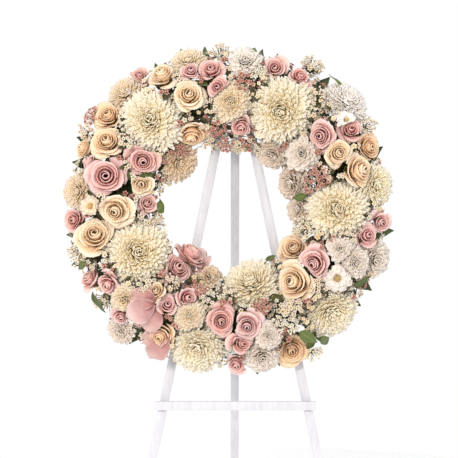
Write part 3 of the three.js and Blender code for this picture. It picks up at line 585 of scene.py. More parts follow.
# %% Rose petals
def rose_petals(rng, count, steps=8, columns=7):
    """Points (petal, along t, across a) of a rose of unit radius. With s from 0 at the heart to 1
    outside, the rim's radius is 0.08 + 0.92 s^1.25 and its height 0.62 - 0.12 s - 0.48 s^2.2; the petal
    climbs to it from a narrow foot, its sides fall short of the rim, and the last part rolls back."""
    s = (np.arange(count) + 0.5 + rng.uniform(-0.2, 0.2, count)) / count
    s = s[:, None, None]
    one = chance(rng, count)
    t, a = grid(steps, columns)
    climb = t * (1 - (0.10 + 0.16 * s) * np.abs(a) ** one(1.3, 2.4) * one(0.7, 1.3))
    rim = (0.08 + 0.92 * s ** 1.25) * one(0.88, 1.08)
    high = 0.62 - 0.12 * s - 0.48 * s ** 2.2 + one(-0.03, 0.03)
    foot = 0.05 + 0.22 * s
    low = -0.34 - 0.14 * s
    out = foot + (rim - foot) * climb ** (0.75 + 0.1 * s)
    out = out + 0.07 * (1 - s) * np.sin(np.pi * climb) - 0.05 * (1 - s) * climb ** 4
    rise = low + (high - low) * (climb ** (0.9 - 0.25 * s))
    roll = np.clip((climb - 0.7) / 0.3, 0, 1)
    curl = (0.25 + 1.05 * s) * one(0.5, 1.6)
    out = out + 0.05 * curl * roll
    rise = rise - 0.12 * curl * roll ** 2 - 0.10 * s * np.abs(a) ** 3 * climb
    out = out * (1 + 0.05 * a * (1 - 0.5 * s))
    wave = 0.025 * s * np.sin(a * one(3, 6) + one(0, 6)) * climb ** 3
    half = (1.8 - 0.92 * s ** 0.6) * one(0.9, 1.12)
    spread = half * (0.5 + 0.5 * np.sin(np.minimum(climb * 1.2, 1) * np.pi / 2))
    turn = np.arange(count)[:, None, None] * 2.4 + one(-0.15, 0.15)
    angle = turn + a * spread + 0.2 * climb
    return round_axis(angle, out, 0, rise + wave, (climb, a, s))


# %% [markdown]
# ## A chrysanthemum
# A show chrysanthemum is a dome of narrow petals like small spoons. The middle ones stand upright and
# curl in, the outer ones lie flat. Each petal is a strip along a bending line, so its points come
# from adding up small steps whose slope changes along the way.

# %% Chrysanthemum petals
def mum_petals(rng, count, curl=1.0, broad=1.0, steps=5, columns=3):
    """Points (petal, along, across) of unit radius. With s from 0 at the middle to 1 outside, the
    petal leaves its seat at 0.02 + 0.62 s from the axis, leaning by 2 s - 0.1 radians, and its
    slope turns back by curl along the way; the edges lift like a spoon's."""
    s = (((np.arange(count) + 0.5) / count) ** 0.56)[:, None, None]
    one = chance(rng, count)
    t, a = grid(steps, columns)
    lean = 2.0 * s - 0.1 + one(-0.2, 0.2)
    slope = lean + 0.25 * np.sin(np.pi * t) - curl * (1.0 - 0.2 * s) * t ** 1.4 * one(0.4, 1.4)
    length = (0.15 + 0.33 * s) * one(0.84, 1.14)
    step = length / (steps - 1)
    out = 0.02 + 0.62 * s + np.cumsum(step * np.sin(slope), axis=1) - step * np.sin(slope)
    rise = 0.28 - 0.5 * s ** 2 + np.cumsum(step * np.cos(slope), axis=1) - step * np.cos(slope)
    wide = broad * (0.056 + 0.006 * s) * one(0.85, 1.15)
    wide = wide * (0.45 + 0.55 * swelling(t, 0.7)) * round_tip(t, 0.72, 0.3, 0.06)
    lift = wide * (0.6 - 0.3 * t) * a ** 2
    twist = one(-0.35, 0.35) * t
    sway = one(-0.08, 0.08) * t ** 2
    radial = out - lift * np.cos(slope)
    height = rise + lift * np.sin(slope) + a * wide * np.sin(twist)
    tangent = a * wide * np.cos(twist) + sway
    turn = np.arange(count)[:, None, None] * GOLDEN_ANGLE + one(-0.06, 0.06)
    return round_axis(turn, radial, tangent, height, (t, a, s))


# %% [markdown]
# ## A daisy-form chrysanthemum
# The small white flowers have three rows of flat petals round a low straw-yellow cushion. Some are so
# full that the cushion is hidden: these frilled ones use the chrysanthemum's rule with broad petals.
# The rows lift towards the middle, and each petal arches a little along its length.

# %% Daisy petals
def daisy_petals(rng, rows, steps=5, columns=4):
    """Points (petal, along, across) of unit radius: in each row the petals stand evenly round the
    cushion, reach from 0.16 to the row's radius and rise by the row's lift, arched by a sine."""
    count = sum(n for n, _, _ in rows)
    reach = np.repeat([r for _, r, _ in rows], [n for n, _, _ in rows])[:, None, None]
    lift = np.repeat([h for _, _, h in rows], [n for n, _, _ in rows])[:, None, None]
    turn = np.concatenate([np.arange(n) / n * 2 * np.pi + 0.7 * k for k, (n, _, _) in enumerate(rows)])
    narrow = np.repeat([1 / n for n, _, _ in rows], [n for n, _, _ in rows])[:, None, None]
    one = chance(rng, count)
    t, a = grid(steps, columns)
    reach = reach * one(0.9, 1.04)
    out = 0.16 + (reach - 0.16) * t
    rise = -0.05 + lift * t * one(0.7, 1.3) + 0.10 * np.sin(np.pi * t * 0.9) - 0.16 * t ** 3 * one(0, 1.4)
    wide = reach * narrow * 3.3 * (0.4 + 0.6 * swelling(t, 0.75)) * round_tip(t, 0.75, 0.27, 0.10)
    tangent = a * wide + one(-0.08, 0.08) * t ** 2
    rise = rise + 0.3 * wide * a ** 2 * (1 - t)
    turn = turn[:, None, None] + one(-0.1, 0.1)
    return round_axis(turn, out, tangent, rise, (t, a, 0.45 + 0.5 * reach))


def cushion(radius=0.15, bumps=36, high=0.1):
    """A low dome of many tiny florets: short pegs on a spiral, tube paths from the dome outwards."""
    k = np.arange(bumps)
    r, turn = radius * np.sqrt((k + 0.5) / bumps), k * GOLDEN_ANGLE
    foot = np.stack([r * np.cos(turn), r * np.sin(turn), high * (1 - (r / radius) ** 2)], -1)
    tilt = unit(foot * [1.2, 1.2, 0] + [0, 0, 0.25])
    steps = np.array([-0.06, 0.015, 0.05])[None, :, None]
    return foot[:, None] + tilt[:, None] * steps, np.array([0.026, 0.03, 0.012]) + 0 * r[:, None]


# %% [markdown]
# ## Dressing each bunch
# Every bunch of the solid model now gets its real petals in one mesh. The flower's tint is drawn from
# a seed made of its place on the sketch, so two roses side by side differ but never change. The small
# chrysanthemums and white flowers get painted light and shade by place instead: whitest at the ring's
# upper right, and painted more beige, as shade, towards its left, its hole and its lower right.

# %% Petals for every bunch
FINISH = {"cream_petals": CREAM, "white_petals": WHITE, "pink_petals": PINK, "peach_petals": PEACH}
PETAL_THICK = {"rose": 0.0005, "mum": 0.0006, "daisy": 0.0005, "frill": 0.0005}


def dress(head):
    """The batches of one head: its petals, and a daisy's cushion. A rose has 12 or 17 petals and a
    chrysanthemum 230 or 400, by its size."""
    rng = np.random.default_rng(head.seed)
    if head.kind == "rose":
        unit_points, looks = rose_petals(rng, 12 if head.size < SMALL_ROSE else 17)
    elif head.kind == "mum":
        broad = min(1.4, FULL_MUM / head.size)
        unit_points, looks = mum_petals(rng, 230 if head.size < SMALL_MUM else 400, 1.0, broad)
    elif head.kind == "frill":
        unit_points, looks = mum_petals(rng, 90, 0.8, 2.6)
    else:
        unit_points, looks = daisy_petals(rng, [(15, 1.0, -0.04), (14, 0.88, 0.14), (12, 0.66, 0.3)])
    tint = rng.uniform(size=3)
    # Outside the roses the tint's second number is painted light and shade by place: lighter at the ring's
    # outer upper right, beige as painted shade to the left, by the hole and at the lower right; the big
    # chrysanthemums keep one even tint.
    if head.kind != "rose":
        x, y, _ = head.middle
        lit_share_by_place = np.clip((np.hypot(x, y) - 0.13) / 0.15, 0, 1) * np.clip((x + 0.35) / 0.5, 0.2, 1)
        lower_right_painted_shade = 0.5 if x > 0 > y else 1.0
        tint[1] = 0.85 if head.kind == "mum" and head.size > SMALL_MUM else lit_share_by_place * lower_right_painted_shade
    spin = rng.uniform(0, 6.28)
    placed = head.pressed(unit_points, spin)
    made = [(*closed_sheets(placed, PETAL_THICK[head.kind]), on_both_skins(looks), tint)]
    if head.kind == "daisy":
        paths, radii = cushion()
        made.append((*closed_tubes(head.pressed(paths + [0, 0, 0.14]), radii * head.radius, 4),
                     [0.0, 0.0, 0.0], tint))
    return made


for name, (slot, heads) in bunches.items():
    if heads[0].kind == "spray":
        continue
    made = [batch for head in heads for batch in dress(head)]
    make_piece(name + "_petals", made, FINISH[slot], replaces=[name])

# %% [markdown]
# ## Stems and sepals
# Under each head sits a green cup of five sepals on a stem that runs into a plain hole in the foam.
# They hardly show from the front, but from the side they are what holds the flowers.

# %% Stems and sepals
def foam_gap(points):
    """How far points lie outside the foam ring; negative inside."""
    rho = np.hypot(points[..., 0], points[..., 1])
    near = np.clip(rho, FOAM_INNER + FOAM_CORNER, FOAM_OUTER - FOAM_CORNER)
    high = np.clip(points[..., 2], -0.04, FOAM_TOP - FOAM_CORNER)
    return np.hypot(rho - near, points[..., 2] - high) - FOAM_CORNER


def stem_path(head, steps=7):
    """A straight line from inside the head towards the ring's core, ending 12 mm inside the foam."""
    start = head.pressed(np.array([0.0, 0.0, -0.3]))
    goal = np.array([*(head.middle[:2] * RING_RADIUS / np.hypot(*head.middle[:2])), CORE_HEIGHT + 0.006])
    ray = unit(goal - start)
    lengths = np.arange(0, 0.25, 0.0005)
    reach = lengths[np.argmax(foam_gap(start + ray * lengths[:, None]) < -0.012)]
    return start + ray * np.linspace(0, reach, steps)[:, None]


def sepals(head, count=5, steps=4, columns=3):
    """Five pointed sepals that leave the stem and hug the flower's underside."""
    t, a = grid(steps, columns)
    turn = (np.arange(count) / count * 2 * np.pi)[:, None, None]
    out, rise = 0.08 + 0.5 * t, -0.62 + 0.34 * t ** 1.3
    wide = 0.2 * np.sin(np.pi * (0.25 + 0.72 * t))
    return head.pressed(round_axis(turn, out, a * wide, rise, (t, a, 0))[0])


STEM_RADIUS = 0.0026
green = []
for head in all_heads:
    path = stem_path(head)
    stem = closed_tubes(path[None], np.full((1, len(path)), STEM_RADIUS), 6)
    green.append((*stem, [0.2, 0, 0], [0.4, 0, 0]))
    if head.kind != "spray":
        green.append((*closed_sheets(sepals(head), LEAF_THICK), [0.4, 0.5, 0], [0.3, 0, 0]))
make_piece("stems_and_sepals", green, STALK)

# %% [markdown]
# ## Sprays of buds and tiny blossoms
# Between the big flowers a florist tucks airy stuff: stalks that fork from one point, each with a
# bud or a star-shaped blossom a few millimetres wide. The buds are tubes that swell and close, and a
# blossom is five little sheets round a short tube.

# %% Buds and stars
STALK_RADIUS = 0.0006
BUD_STEPS, BUD_SIDES = 7, 6


def bud_tubes(feet, axes, length, radius, steps=BUD_STEPS):
    """Buds: along each axis the radius follows sin(pi t^0.8), closed small at both ends."""
    t = np.linspace(0, 1, steps)
    swell = np.maximum(np.sin(np.pi * t ** 0.8), 0.12) * radius
    return feet[:, None] + axes[:, None] * (t * length)[:, None], np.broadcast_to(swell, (len(feet), steps))


def stars(rng, centres, axes, radius, petals=5, steps=3, columns=3):
    """Star blossoms: five short petals round each centre, cupped by 0.35 of their length."""
    side = unit(np.cross(axes, [0.3, 0.8, 0.52]))
    other = np.cross(axes, side)
    turn = (np.arange(petals) / petals * 2 * np.pi)[None] + rng.uniform(0, 6, (len(centres), 1))
    t = np.linspace(0, 1, steps)[:, None]
    a = np.linspace(-1, 1, columns)[None]
    out, rise = 0.08 + 0.92 * t, 0.45 * t ** 0.7 - 0.25 * t ** 3 * np.ones_like(a)
    wide = 0.42 * np.sin(np.pi * (0.12 + 0.76 * t)) * a
    radial = np.cos(turn)[..., None] * side[:, None] + np.sin(turn)[..., None] * other[:, None]
    tangent = np.cross(axes[:, None], radial)
    size = radius[:, None, None, None, None]
    points = (centres[:, None, None, None] + size * (
        out[..., None] * radial[:, :, None, None] + wide[..., None] * tangent[:, :, None, None]
        + rise[..., None] * axes[:, None, None, None]))
    looks = np.broadcast_to(np.stack(np.broadcast_arrays(t, a, 0.5 + 0 * t * a), -1), points.shape)
    return points.reshape(-1, steps, columns, 3), looks.reshape(-1, steps, columns, 3)


# %% One spray
def spray(head, count, bloom_size, buds_share):
    """Stalks, buds and stars of one spray, in its head's room."""
    rng = np.random.default_rng(head.seed + 7)
    k = np.arange(count)
    turn, out = k * 2.4 + rng.uniform(0, 1, count), 0.85 * np.sqrt((k + 0.3) / count)
    rise = 0.5 - 0.5 * out ** 2 + rng.uniform(-0.25, 0.15, count)
    tips = np.stack([out * np.cos(turn), out * np.sin(turn), rise], -1)
    t = np.linspace(0, 1, 6)[None, :, None]
    foot = np.array([0, 0, -0.6])
    paths = foot + (tips[:, None] - foot) * t + np.sin(np.pi * t) * tips[:, None] * [0.18, 0.18, 0]
    placed = head.pressed(paths)
    ends, ways = placed[:, -1], unit(placed[:, -1] - placed[:, -3])
    bud = rng.uniform(size=count) < buds_share
    stalks = closed_tubes(placed, np.full(placed.shape[:2], STALK_RADIUS), 4)
    made = {"stalks": [(*stalks, [0.3, 0, 0], [0.5, 0, 0])], "blooms": []}
    tint = rng.uniform(size=3)
    if bud.any():
        feet = ends[bud] - ways[bud] * 0.001
        shape = closed_tubes(*bud_tubes(feet, ways[bud], bloom_size * 1.5, bloom_size * 0.42), BUD_SIDES)
        height = np.tile(np.repeat(np.linspace(0.25, 0.9, BUD_STEPS), BUD_SIDES), bud.sum())
        made["blooms"].append((*shape, np.stack([height, 0 * height, 0.5 + 0 * height], -1), tint))
    if (~bud).any():
        size = bloom_size * rng.uniform(0.8, 1.2, (~bud).sum())
        points, looks = stars(rng, ends[~bud], ways[~bud], size)
        made["blooms"].append((*closed_sheets(points, BLOSSOM_THICK), on_both_skins(looks), tint))
        feet = ends[~bud] - ways[~bud] * 0.0005
        shape = closed_tubes(*bud_tubes(feet, ways[~bud], bloom_size * 0.5, bloom_size * 0.16, 4), 4)
        made["blooms"].append((*shape, [0.05, 0, 0.1], tint))
    return made


# %% Place the sprays
FILLERS = {  # place and size on the sketch; all sit 4 mm deeper between the big flowers
    "cream": [(221, 51, 10), (369, 124, 9), (284, 322, 13), (291, 306, 9), (77, 254, 11), (160, 181, 10),
              (156, 222, 9), (211, 297, 11), (146, 284, 8), (128, 140, 9), (84, 130, 8), (315, 354, 8),
              (172, 283, 7), (345, 239, 9), (316, 285, 9), (230, 295, 9), (365, 275, 8), (101, 302, 8),
              (211, 142, 8), (239, 146, 6), (262, 147, 8), (257, 73, 8), (316, 98, 10), (304, 228, 11),
              (313, 65, 11)],
    "mauve": [(92, 115, 9), (199, 291, 7), (320, 178, 12), (216, 127, 10), (241, 84, 10), (247, 142, 8),
              (352, 108, 8), (180, 150, 8), (226, 143, 8), (262, 306, 8)]}
stalks, cream_bits, mauve_bits = [], [], []
for colour, spots in FILLERS.items():
    for x, y, size in spots:
        head = Head("spray", x, y, size, deep=0.004)
        head.find_walls(all_heads, loose=0.3)
        made = spray(head, 20, 0.0042, 0.45 if colour == "cream" else 0.15)
        stalks += made["stalks"]
        (cream_bits if colour == "cream" else mauve_bits).extend(made["blooms"])
for name, (slot, heads) in bunches.items():
    if heads[0].kind == "spray":
        pink = slot == "mauve_blossoms"
        made = [spray(head, 26, 0.0046, 0.15 if pink else 0.5) for head in heads]
        stalks += [batch for one in made for batch in one["stalks"]]
        make_piece(name + "_blooms", [b for one in made for b in one["blooms"]], MAUVE if pink else BUD,
                   replaces=[name])
make_piece("spray_stalks", stalks, STALK)
make_piece("tiny_cream_blossoms", cream_bits, BUD)
make_piece("tiny_mauve_blossoms", mauve_bits, MAUVE)

# %% [markdown]
# ## Leaves
# A leaf is a pointed oval folded along its midrib. Its width follows a sine of the way along, drawn
# towards the base; the surface droops with the square of the way and ripples at the edge.

# %% Leaf blades
def blades(base, ahead, face, length, width, droop=0.2, fold=0.25, steps=7, columns=5, seed=1, blunt=1.0,
           wave=0.07):
    """Points (leaf, along, across): base + ahead * length * t - face * droop * length * t^2, and to the
    side a * width * sin(pi t^0.75)^blunt; the fold lifts the edges, a wave runs along them, and a blunt
    below 1 rounds the tip."""
    rng = np.random.default_rng(seed)
    col = lambda v: np.broadcast_to(np.asarray(v, float), (len(base),))[:, None, None, None]
    ahead = unit(np.broadcast_to(ahead, base.shape))
    side = unit(np.cross(face, ahead))
    face = np.cross(ahead, side)
    t = np.linspace(0, 1, steps)[None, :, None, None]
    a = np.linspace(-1, 1, columns)[None, None, :, None]
    oval = np.maximum(np.sin(np.pi * t ** (0.75 / blunt ** 0.7)), 0.04) ** blunt * col(width) / 2
    ripple = wave * np.sin(9 * t + rng.uniform(0, 6, (len(base), 1, 1, 1))) * np.abs(a) * col(width)
    rise = col(fold) * np.abs(a) * oval - col(droop) * col(length) * t ** 2 + ripple
    e = lambda v: v[:, None, None]
    points = e(base) + e(ahead) * col(length) * t + e(side) * a * oval + e(face) * rise
    looks = np.stack(np.broadcast_arrays((t + 0 * a)[..., 0], (a + 0 * t)[..., 0], 0 * (a + t)[..., 0]), -1)
    return points, np.broadcast_to(looks, points.shape)


def leaf_batches(points, looks, seed):
    rng = np.random.default_rng(seed)
    tint = np.repeat(rng.uniform(size=(len(points), 3)), 2 * points.shape[1] * points.shape[2], axis=0)
    return [(*closed_sheets(points, LEAF_THICK), on_both_skins(looks), tint)]


# %% [markdown]
# ## Greenery in the gaps
# Where the flowers leave a gap, dark leaves cover the foam; their darkness is partly their own green
# and partly painted shade for the gaps. A net of spots is laid over the cushion of flowers in three
# depths, spots inside a flower are dropped, and a leaf grows at each one that is left.
# The deepest spots may lie under a flower's rim, so that no light shows through the ring.

# %% A net of spots
SPOTS, DEPTHS = 2600, (0.018, 0.034, 0.050)  # spots at each depth under the cushion's surface
LEAF_SPACING, DEEP_SPACING = 0.0143, 0.019
DEEP = 0.04
rng = np.random.default_rng(11)
around = np.arange(SPOTS) * GOLDEN_ANGLE
spots = []
for depth in DEPTHS:
    tube = rng.uniform(-1.75, 1.75, SPOTS)
    away = RING_RADIUS + (REACH - depth) * np.sin(tube)
    spots.append(np.stack([away * np.cos(around), away * np.sin(around),
                           CORE_HEIGHT + (REACH - depth) * np.cos(tube), np.sin(tube),
                           np.full(SPOTS, depth)], -1))
spots = np.concatenate(spots)
spots = spots[spots[:, 2] > 0.012]
middles = np.array([head.middle for head in all_heads])
SOLID_SHARE = {"mum": 0.86, "rose": 0.86, "frill": 0.72, "daisy": 0.72, "spray": 0.35}
sizes = np.array([head.radius * SOLID_SHARE[head.kind] for head in all_heads])
clear = (np.linalg.norm(spots[:, None, :3] - middles, axis=-1) / sizes).min(axis=1)
spots = spots[clear > np.where(spots[:, 4] > DEEP, 0.72, 1)]
kept = []
for spot in spots:
    spacing = LEAF_SPACING if spot[4] < DEEP else DEEP_SPACING
    if all(np.linalg.norm(spot[:3] - other[:3]) > spacing for other in kept):
        kept.append(spot)
kept = np.array(kept)
print("spots:", len(kept))

# %% A leaf at each spot
outward = unit(np.concatenate([kept[:, :2], 0 * kept[:, :1]], axis=1))
lift = kept[:, 3:4]
surface = unit(outward * lift + np.array([0, 0, 1]) * np.sqrt(np.maximum(1 - lift ** 2, 0.02)))
drift = unit(np.cross(surface, rng.normal(size=surface.shape)))
ahead = unit(drift + surface * rng.uniform(0.1, 0.9, (len(kept), 1)))
length = rng.uniform(0.018, 0.030, len(kept)) + 0.006 * (kept[:, 4] > DEEP)
base = kept[:, :3] - ahead * length[:, None] * 0.5 - surface * 0.006
points, looks = blades(base, ahead, surface, length, length * rng.uniform(0.4, 0.6, len(kept)),
                       rng.uniform(0.05, 0.3, len(kept)), steps=5, columns=3)
make_piece("leaves_in_the_gaps", leaf_batches(points, looks, 3), GAP_LEAF_WITH_PAINTED_SHADE)

# %% [markdown]
# ## Broad leaves that stand out
# A few larger leaves show their whole shape at the rims of the ring. Each has its place on the sketch,
# the way its tip points (degrees from the right, turning up), its length and width in millimetres, its
# droop, and its depth in the cushion in millimetres.

# %% Broad leaves
BROAD_LEAVES = [
    (345, 91, 103, 46, 17, 0.15, 0), (92, 292, -60, 46, 20, 0.2, 6), (158, 213, 55, 30, 26, 0.3, 6),
    (322, 336, -55, 34, 20, 0.3, 6), (306, 196, 190, 30, 16, 0.2, 6), (276, 256, 175, 32, 16, 0.2, 6),
    (352, 286, 15, 42, 14, 0.4, 6), (239, 144, -60, 30, 20, 0.3, 12), (318, 72, 70, 30, 18, 0.3, 6),
    (251, 59, 75, 30, 16, 0.2, 6), (86, 262, 215, 26, 15, 0.3, 6), (299, 331, -38, 44, 24, 0.2, 12),
    (311, 339, -78, 30, 20, 0.2, 14), (204, 284, 150, 30, 20, 0.2, 22), (143, 170, -60, 34, 26, 0.1, 28)]


def broad_blades(rows, blunt=1.0, wave=0.07):
    """The blades of a list: each base lies at a depth under the cushion's surface, and the tip's way
    on the sketch is bent into that surface and lifted a little out of it."""
    x, y, tip, length, width, droop, depth = np.array(rows).T
    flat = np.concatenate([on_bench(x, y), 0 * x[:, None]], axis=1)
    away = np.linalg.norm(flat, axis=1, keepdims=True)
    reach = REACH - depth[:, None] * 0.001
    lean = np.clip((away - RING_RADIUS) / reach, -0.95, 0.95)
    rise = np.sqrt(1 - lean ** 2)
    base = flat + [0, 0, 1] * (CORE_HEIGHT + reach * rise)
    normal = unit(flat / away * lean * 0.7 + [0, 0, 1] * rise)
    ahead = np.stack([np.cos(np.radians(tip)), np.sin(np.radians(tip)), 0 * tip], -1)
    ahead = unit(ahead - normal * np.sum(ahead * normal, axis=1, keepdims=True) + normal * 0.15)
    return blades(base, ahead, normal, length * 0.001, width * 0.001, droop, steps=12, columns=9,
                  blunt=blunt, wave=wave)


make_piece("broad_leaves", leaf_batches(*broad_blades(BROAD_LEAVES), 4), BROAD_LEAF)

# %% [markdown]
# ## Roses blown open
# Three roses at the lower left are overblown: their outer petals have fallen wide open and lie smooth
# and dusty over the flowers beside them. They are the leaf's blade again, nearly as broad as long, and
# their petal values are moved outwards, so that the finish reads them as outer petals.

# %% Fallen petals
BLOWN = [(187, 262, 80, 44, 40, 0.25, 4), (189, 260, 42, 54, 46, 0.25, 4), (190, 263, 5, 46, 38, 0.3, 4),
         (157, 300, 172, 50, 44, 0.3, 10), (155, 303, 208, 56, 50, 0.3, 6), (157, 306, 252, 50, 44, 0.3, 12),
         (168, 333, 205, 54, 40, 0.35, 20), (168, 335, 235, 66, 44, 0.3, 16)]
points, looks = broad_blades(BLOWN, blunt=0.55, wave=0.2)
make_piece("blown_petals", leaf_batches(points, looks * [0.8, 1, 1] + [0.2, 0, 0.6], 6), DUSTY)

# %% [markdown]
# ## Tiny blossoms over the leaves
# Between the roses the ring looks beige rather than green, because pinches of tiny blossoms sit on
# the leaves. Three stars grow at the outer spots of the same net, a little higher, in three colours.

# %% Tiny blossoms
EACH = 3
outer = np.flatnonzero((kept[:, 4] < DEEP) & (kept[:, 2] > 0.02))
spot_of = np.repeat(outer, EACH)
sideways = unit(np.cross(surface[spot_of], rng.normal(size=(len(spot_of), 3))))
places = (kept[spot_of, :3] + sideways * rng.uniform(0.001, 0.0095, (len(spot_of), 1))
          + surface[spot_of] * rng.uniform(-0.002, 0.007, (len(spot_of), 1)))
faces_to = unit(surface[spot_of] + sideways * 0.5)
sizes_of = rng.uniform(0.0038, 0.0064, len(spot_of))
colour_of = np.repeat(rng.choice(3, len(outer), p=[0.5, 0.25, 0.25]), EACH)
for number, (label, finish, slot) in enumerate([("cream", BUD, "bud_spray"), ("mauve", MAUVE, "pink_petals"),
                                                ("ivory", CREAM, "cream_petals")]):
    mine = colour_of == number
    points, looks = stars(rng, places[mine], faces_to[mine], sizes_of[mine], columns=2)
    shells = closed_sheets(points, BLOSSOM_THICK)
    tint = np.repeat(rng.uniform(size=(mine.sum(), 3)), len(shells[0]) // mine.sum(), axis=0)
    make_piece("gap_blossoms_" + label, [(*shells, on_both_skins(looks), tint)], finish)
print("gap blossoms:", len(spot_of))

# %% [markdown]
# ## The leafy collar
# Leatherleaf-like sprigs lie round the tray's rim with their leaves fanned outwards. The solid model
# draws each leaf from a seeded list of numbers, and the same list is used here, so every fine leaf
# lies where its plain one was.

# %% Collar sprigs
def random_from(seed):
    """Seeded numbers from 0 to 1 by mixing the bits of a growing 32-bit number."""
    mask = 0xFFFFFFFF
    state = seed & mask
    while True:
        state = (state + 0x6D2B79F5) & mask
        t = ((state ^ (state >> 15)) * (1 | state)) & mask
        t = ((t + (((t ^ (t >> 7)) * (61 | t)) & mask)) & mask) ^ t
        yield (t ^ (t >> 14)) / 4294967296


COLLAR_RADIUS, COLLAR_HEIGHT, COLLAR_SPAN, COLLAR_LEAVES = 0.25495, 0.004, np.radians(78), 9
RUNNER_RADIUS, RUNNER_STEPS = 0.0019, 40
around_rim = lambda angle, radius, height: np.stack(
    [radius * np.sin(angle), radius * np.cos(angle), height + 0 * angle], -1)
for quarter, place in enumerate(["upper_right", "lower_right", "lower_left", "upper_left"]):
    middle = (quarter + 0.5) * np.pi / 2
    numbers = random_from(int(np.floor(middle * 1000 + 0.5)))
    draws = np.array([next(numbers) for _ in range(2 * COLLAR_LEAVES)]).reshape(-1, 2)
    k = np.arange(COLLAR_LEAVES)
    angle = middle + ((k + 0.5) / COLLAR_LEAVES - 0.5) * COLLAR_SPAN
    base = around_rim(angle, COLLAR_RADIUS - 0.0005, COLLAR_HEIGHT - 0.0016 + 0.002 * (k % 2))
    ahead = around_rim(angle + (draws[:, 0] - 0.5) * 0.5, 1.0, 0.02 + 0.03 * (k % 2))
    length = 0.058 + 0.016 * draws[:, 1]
    points, looks = blades(base, ahead, np.array([0, 0, 1.0]), length, length * 0.5, 0.03, 0.2,
                           steps=12, columns=7, seed=quarter)
    bend = np.linspace(-0.5, 0.5, RUNNER_STEPS) * COLLAR_SPAN + middle
    runner = around_rim(bend, COLLAR_RADIUS, COLLAR_HEIGHT)[None]
    made = leaf_batches(points, looks, 20 + quarter)
    tube = closed_tubes(runner, np.full((1, RUNNER_STEPS), RUNNER_RADIUS), 6)
    made.append((*tube, [0.1, 0.5, 0], [0.4, 0, 0]))
    make_piece("collar_leaves_" + place, made, COLLAR_LEAF, replaces=["leafy_sprig_" + place])

# %% [markdown]
# ## Foam ring and tray
# Both are a profile turned about the wreath's axis. The solid model turns it in 28 steps; here 144
# steps make it round, and the tray's lips and the foam's shoulders are rounded off.

# %% Turned rings
def turned_ring(profile, steps=144):
    """The closed profile (radius, height) carried round the axis: x = r sin, y = r cos."""
    profile = np.asarray(profile)
    turn = np.arange(steps) / steps * 2 * np.pi
    radius, height = profile.T
    points = np.stack([radius * np.sin(turn)[:, None], radius * np.cos(turn)[:, None],
                       np.broadcast_to(height, (steps, len(profile)))], -1)
    index = np.arange(steps * len(profile)).reshape(steps, -1)
    after, over = np.roll(index, -1, axis=0), np.roll(index, -1, axis=1)
    both = np.roll(after, -1, axis=1)
    faces = np.stack([index, after, both, over], -1).reshape(-1, 4)
    return points.reshape(-1, 3), faces, np.zeros(len(faces), bool)


def rounded(corners, radius, arc=5):
    """A closed outline with each corner replaced by points on a quadratic curve through it."""
    corners = np.asarray(corners, float)
    before, after = np.roll(corners, 1, axis=0), np.roll(corners, -1, axis=0)
    r = np.minimum(radius, 0.45 * np.linalg.norm(np.stack([before, after]) - corners, axis=-1).min(axis=0))
    first = corners + unit(before - corners) * r[:, None]
    last = corners + unit(after - corners) * r[:, None]
    u = np.linspace(0, 1, arc)[None, :, None]
    curve = (1 - u) ** 2 * first[:, None] + 2 * u * (1 - u) * corners[:, None] + u ** 2 * last[:, None]
    return curve.reshape(-1, 2)


# %% [markdown]
# ## Foam and plastic
# Wet foam is a dull green mass of tiny cells, which a Voronoi texture gives; its very dark green is
# partly wet foam's own colour and partly painted shade for the gaps, and the cells' hollows are painted
# darker still as shade. The tray is moulded plastic, faintly swirled and scuffed across.

# %% Foam and tray
def foam_finish():
    f = Finish("wet floral foam with painted shade", Roughness=0.9, Specular_IOR_Level=0.2)
    cells = f.node("ShaderNodeTexVoronoi", {}, {"Vector": f.place(), "Scale": 900.0})
    patches = f.noise(f.place(), 45.0, 4.0)
    # The dark green is partly wet foam's own colour, partly painted shade standing in for the gaps.
    body = patches.spread(0.3, 0.7).mixed(rgb("2c3d20"), rgb("4d6238"))
    # The cells' hollows are painted darker as shade.
    body = cells.spread(0.0, 0.6, 0.45, 0.0).mixed(body, rgb("17200f"))
    return f.set(colour=body, height=cells + patches * 0.5, depth=0.0012)


def tray_finish():
    f = Finish("moulded green plastic", Specular_IOR_Level=0.45)
    swirl = f.noise(f.place(), 60.0, 3.0)
    scuffs = f.noise(f.place(1, 1, 6), 240.0, 4.0).spread(0.58, 0.75)
    body = swirl.mixed(rgb("27402b"), rgb("33503a"))
    body = (scuffs * 0.35).mixed(body, rgb("5d7561"))
    return f.set(colour=body, roughness=(swirl * 0.2 + scuffs * 0.2) + 0.32,
                 height=swirl * 0.6 + scuffs * 0.4, depth=0.0003)


FOAM_FLOOR = 0.0023
foam_profile = rounded([(FOAM_INNER, FOAM_FLOOR), (FOAM_OUTER, FOAM_FLOOR), (FOAM_OUTER, FOAM_TOP),
                        (FOAM_INNER, FOAM_TOP)], 0.014, 8)
make_piece("foam_ring_fine", [(*turned_ring(foam_profile), [0, 0, 0], [0, 0, 0])], foam_finish(),
           replaces=["foam_ring"])
tray_profile = rounded([(0.184, 0), (0.252, 0), (0.252, 0.015), (0.250, 0.015), (0.250, 0.002),
                        (0.186, 0.002), (0.186, 0.015), (0.184, 0.015)], 0.0009, 4)
make_piece("backing_tray_fine", [(*turned_ring(tray_profile), [0, 0, 0], [0, 0, 0])], tray_finish(),
           replaces=["backing_tray"])

# %% [markdown]
# ## The easel's laths
# The laths are planed softwood under one coat of white paint. Their edges are broken with sandpaper,
# which is what catches the light. The solid's mesh is copied, its doubled points are joined, its flat
# sides are made whole, and a narrow Bevel rounds the edges.

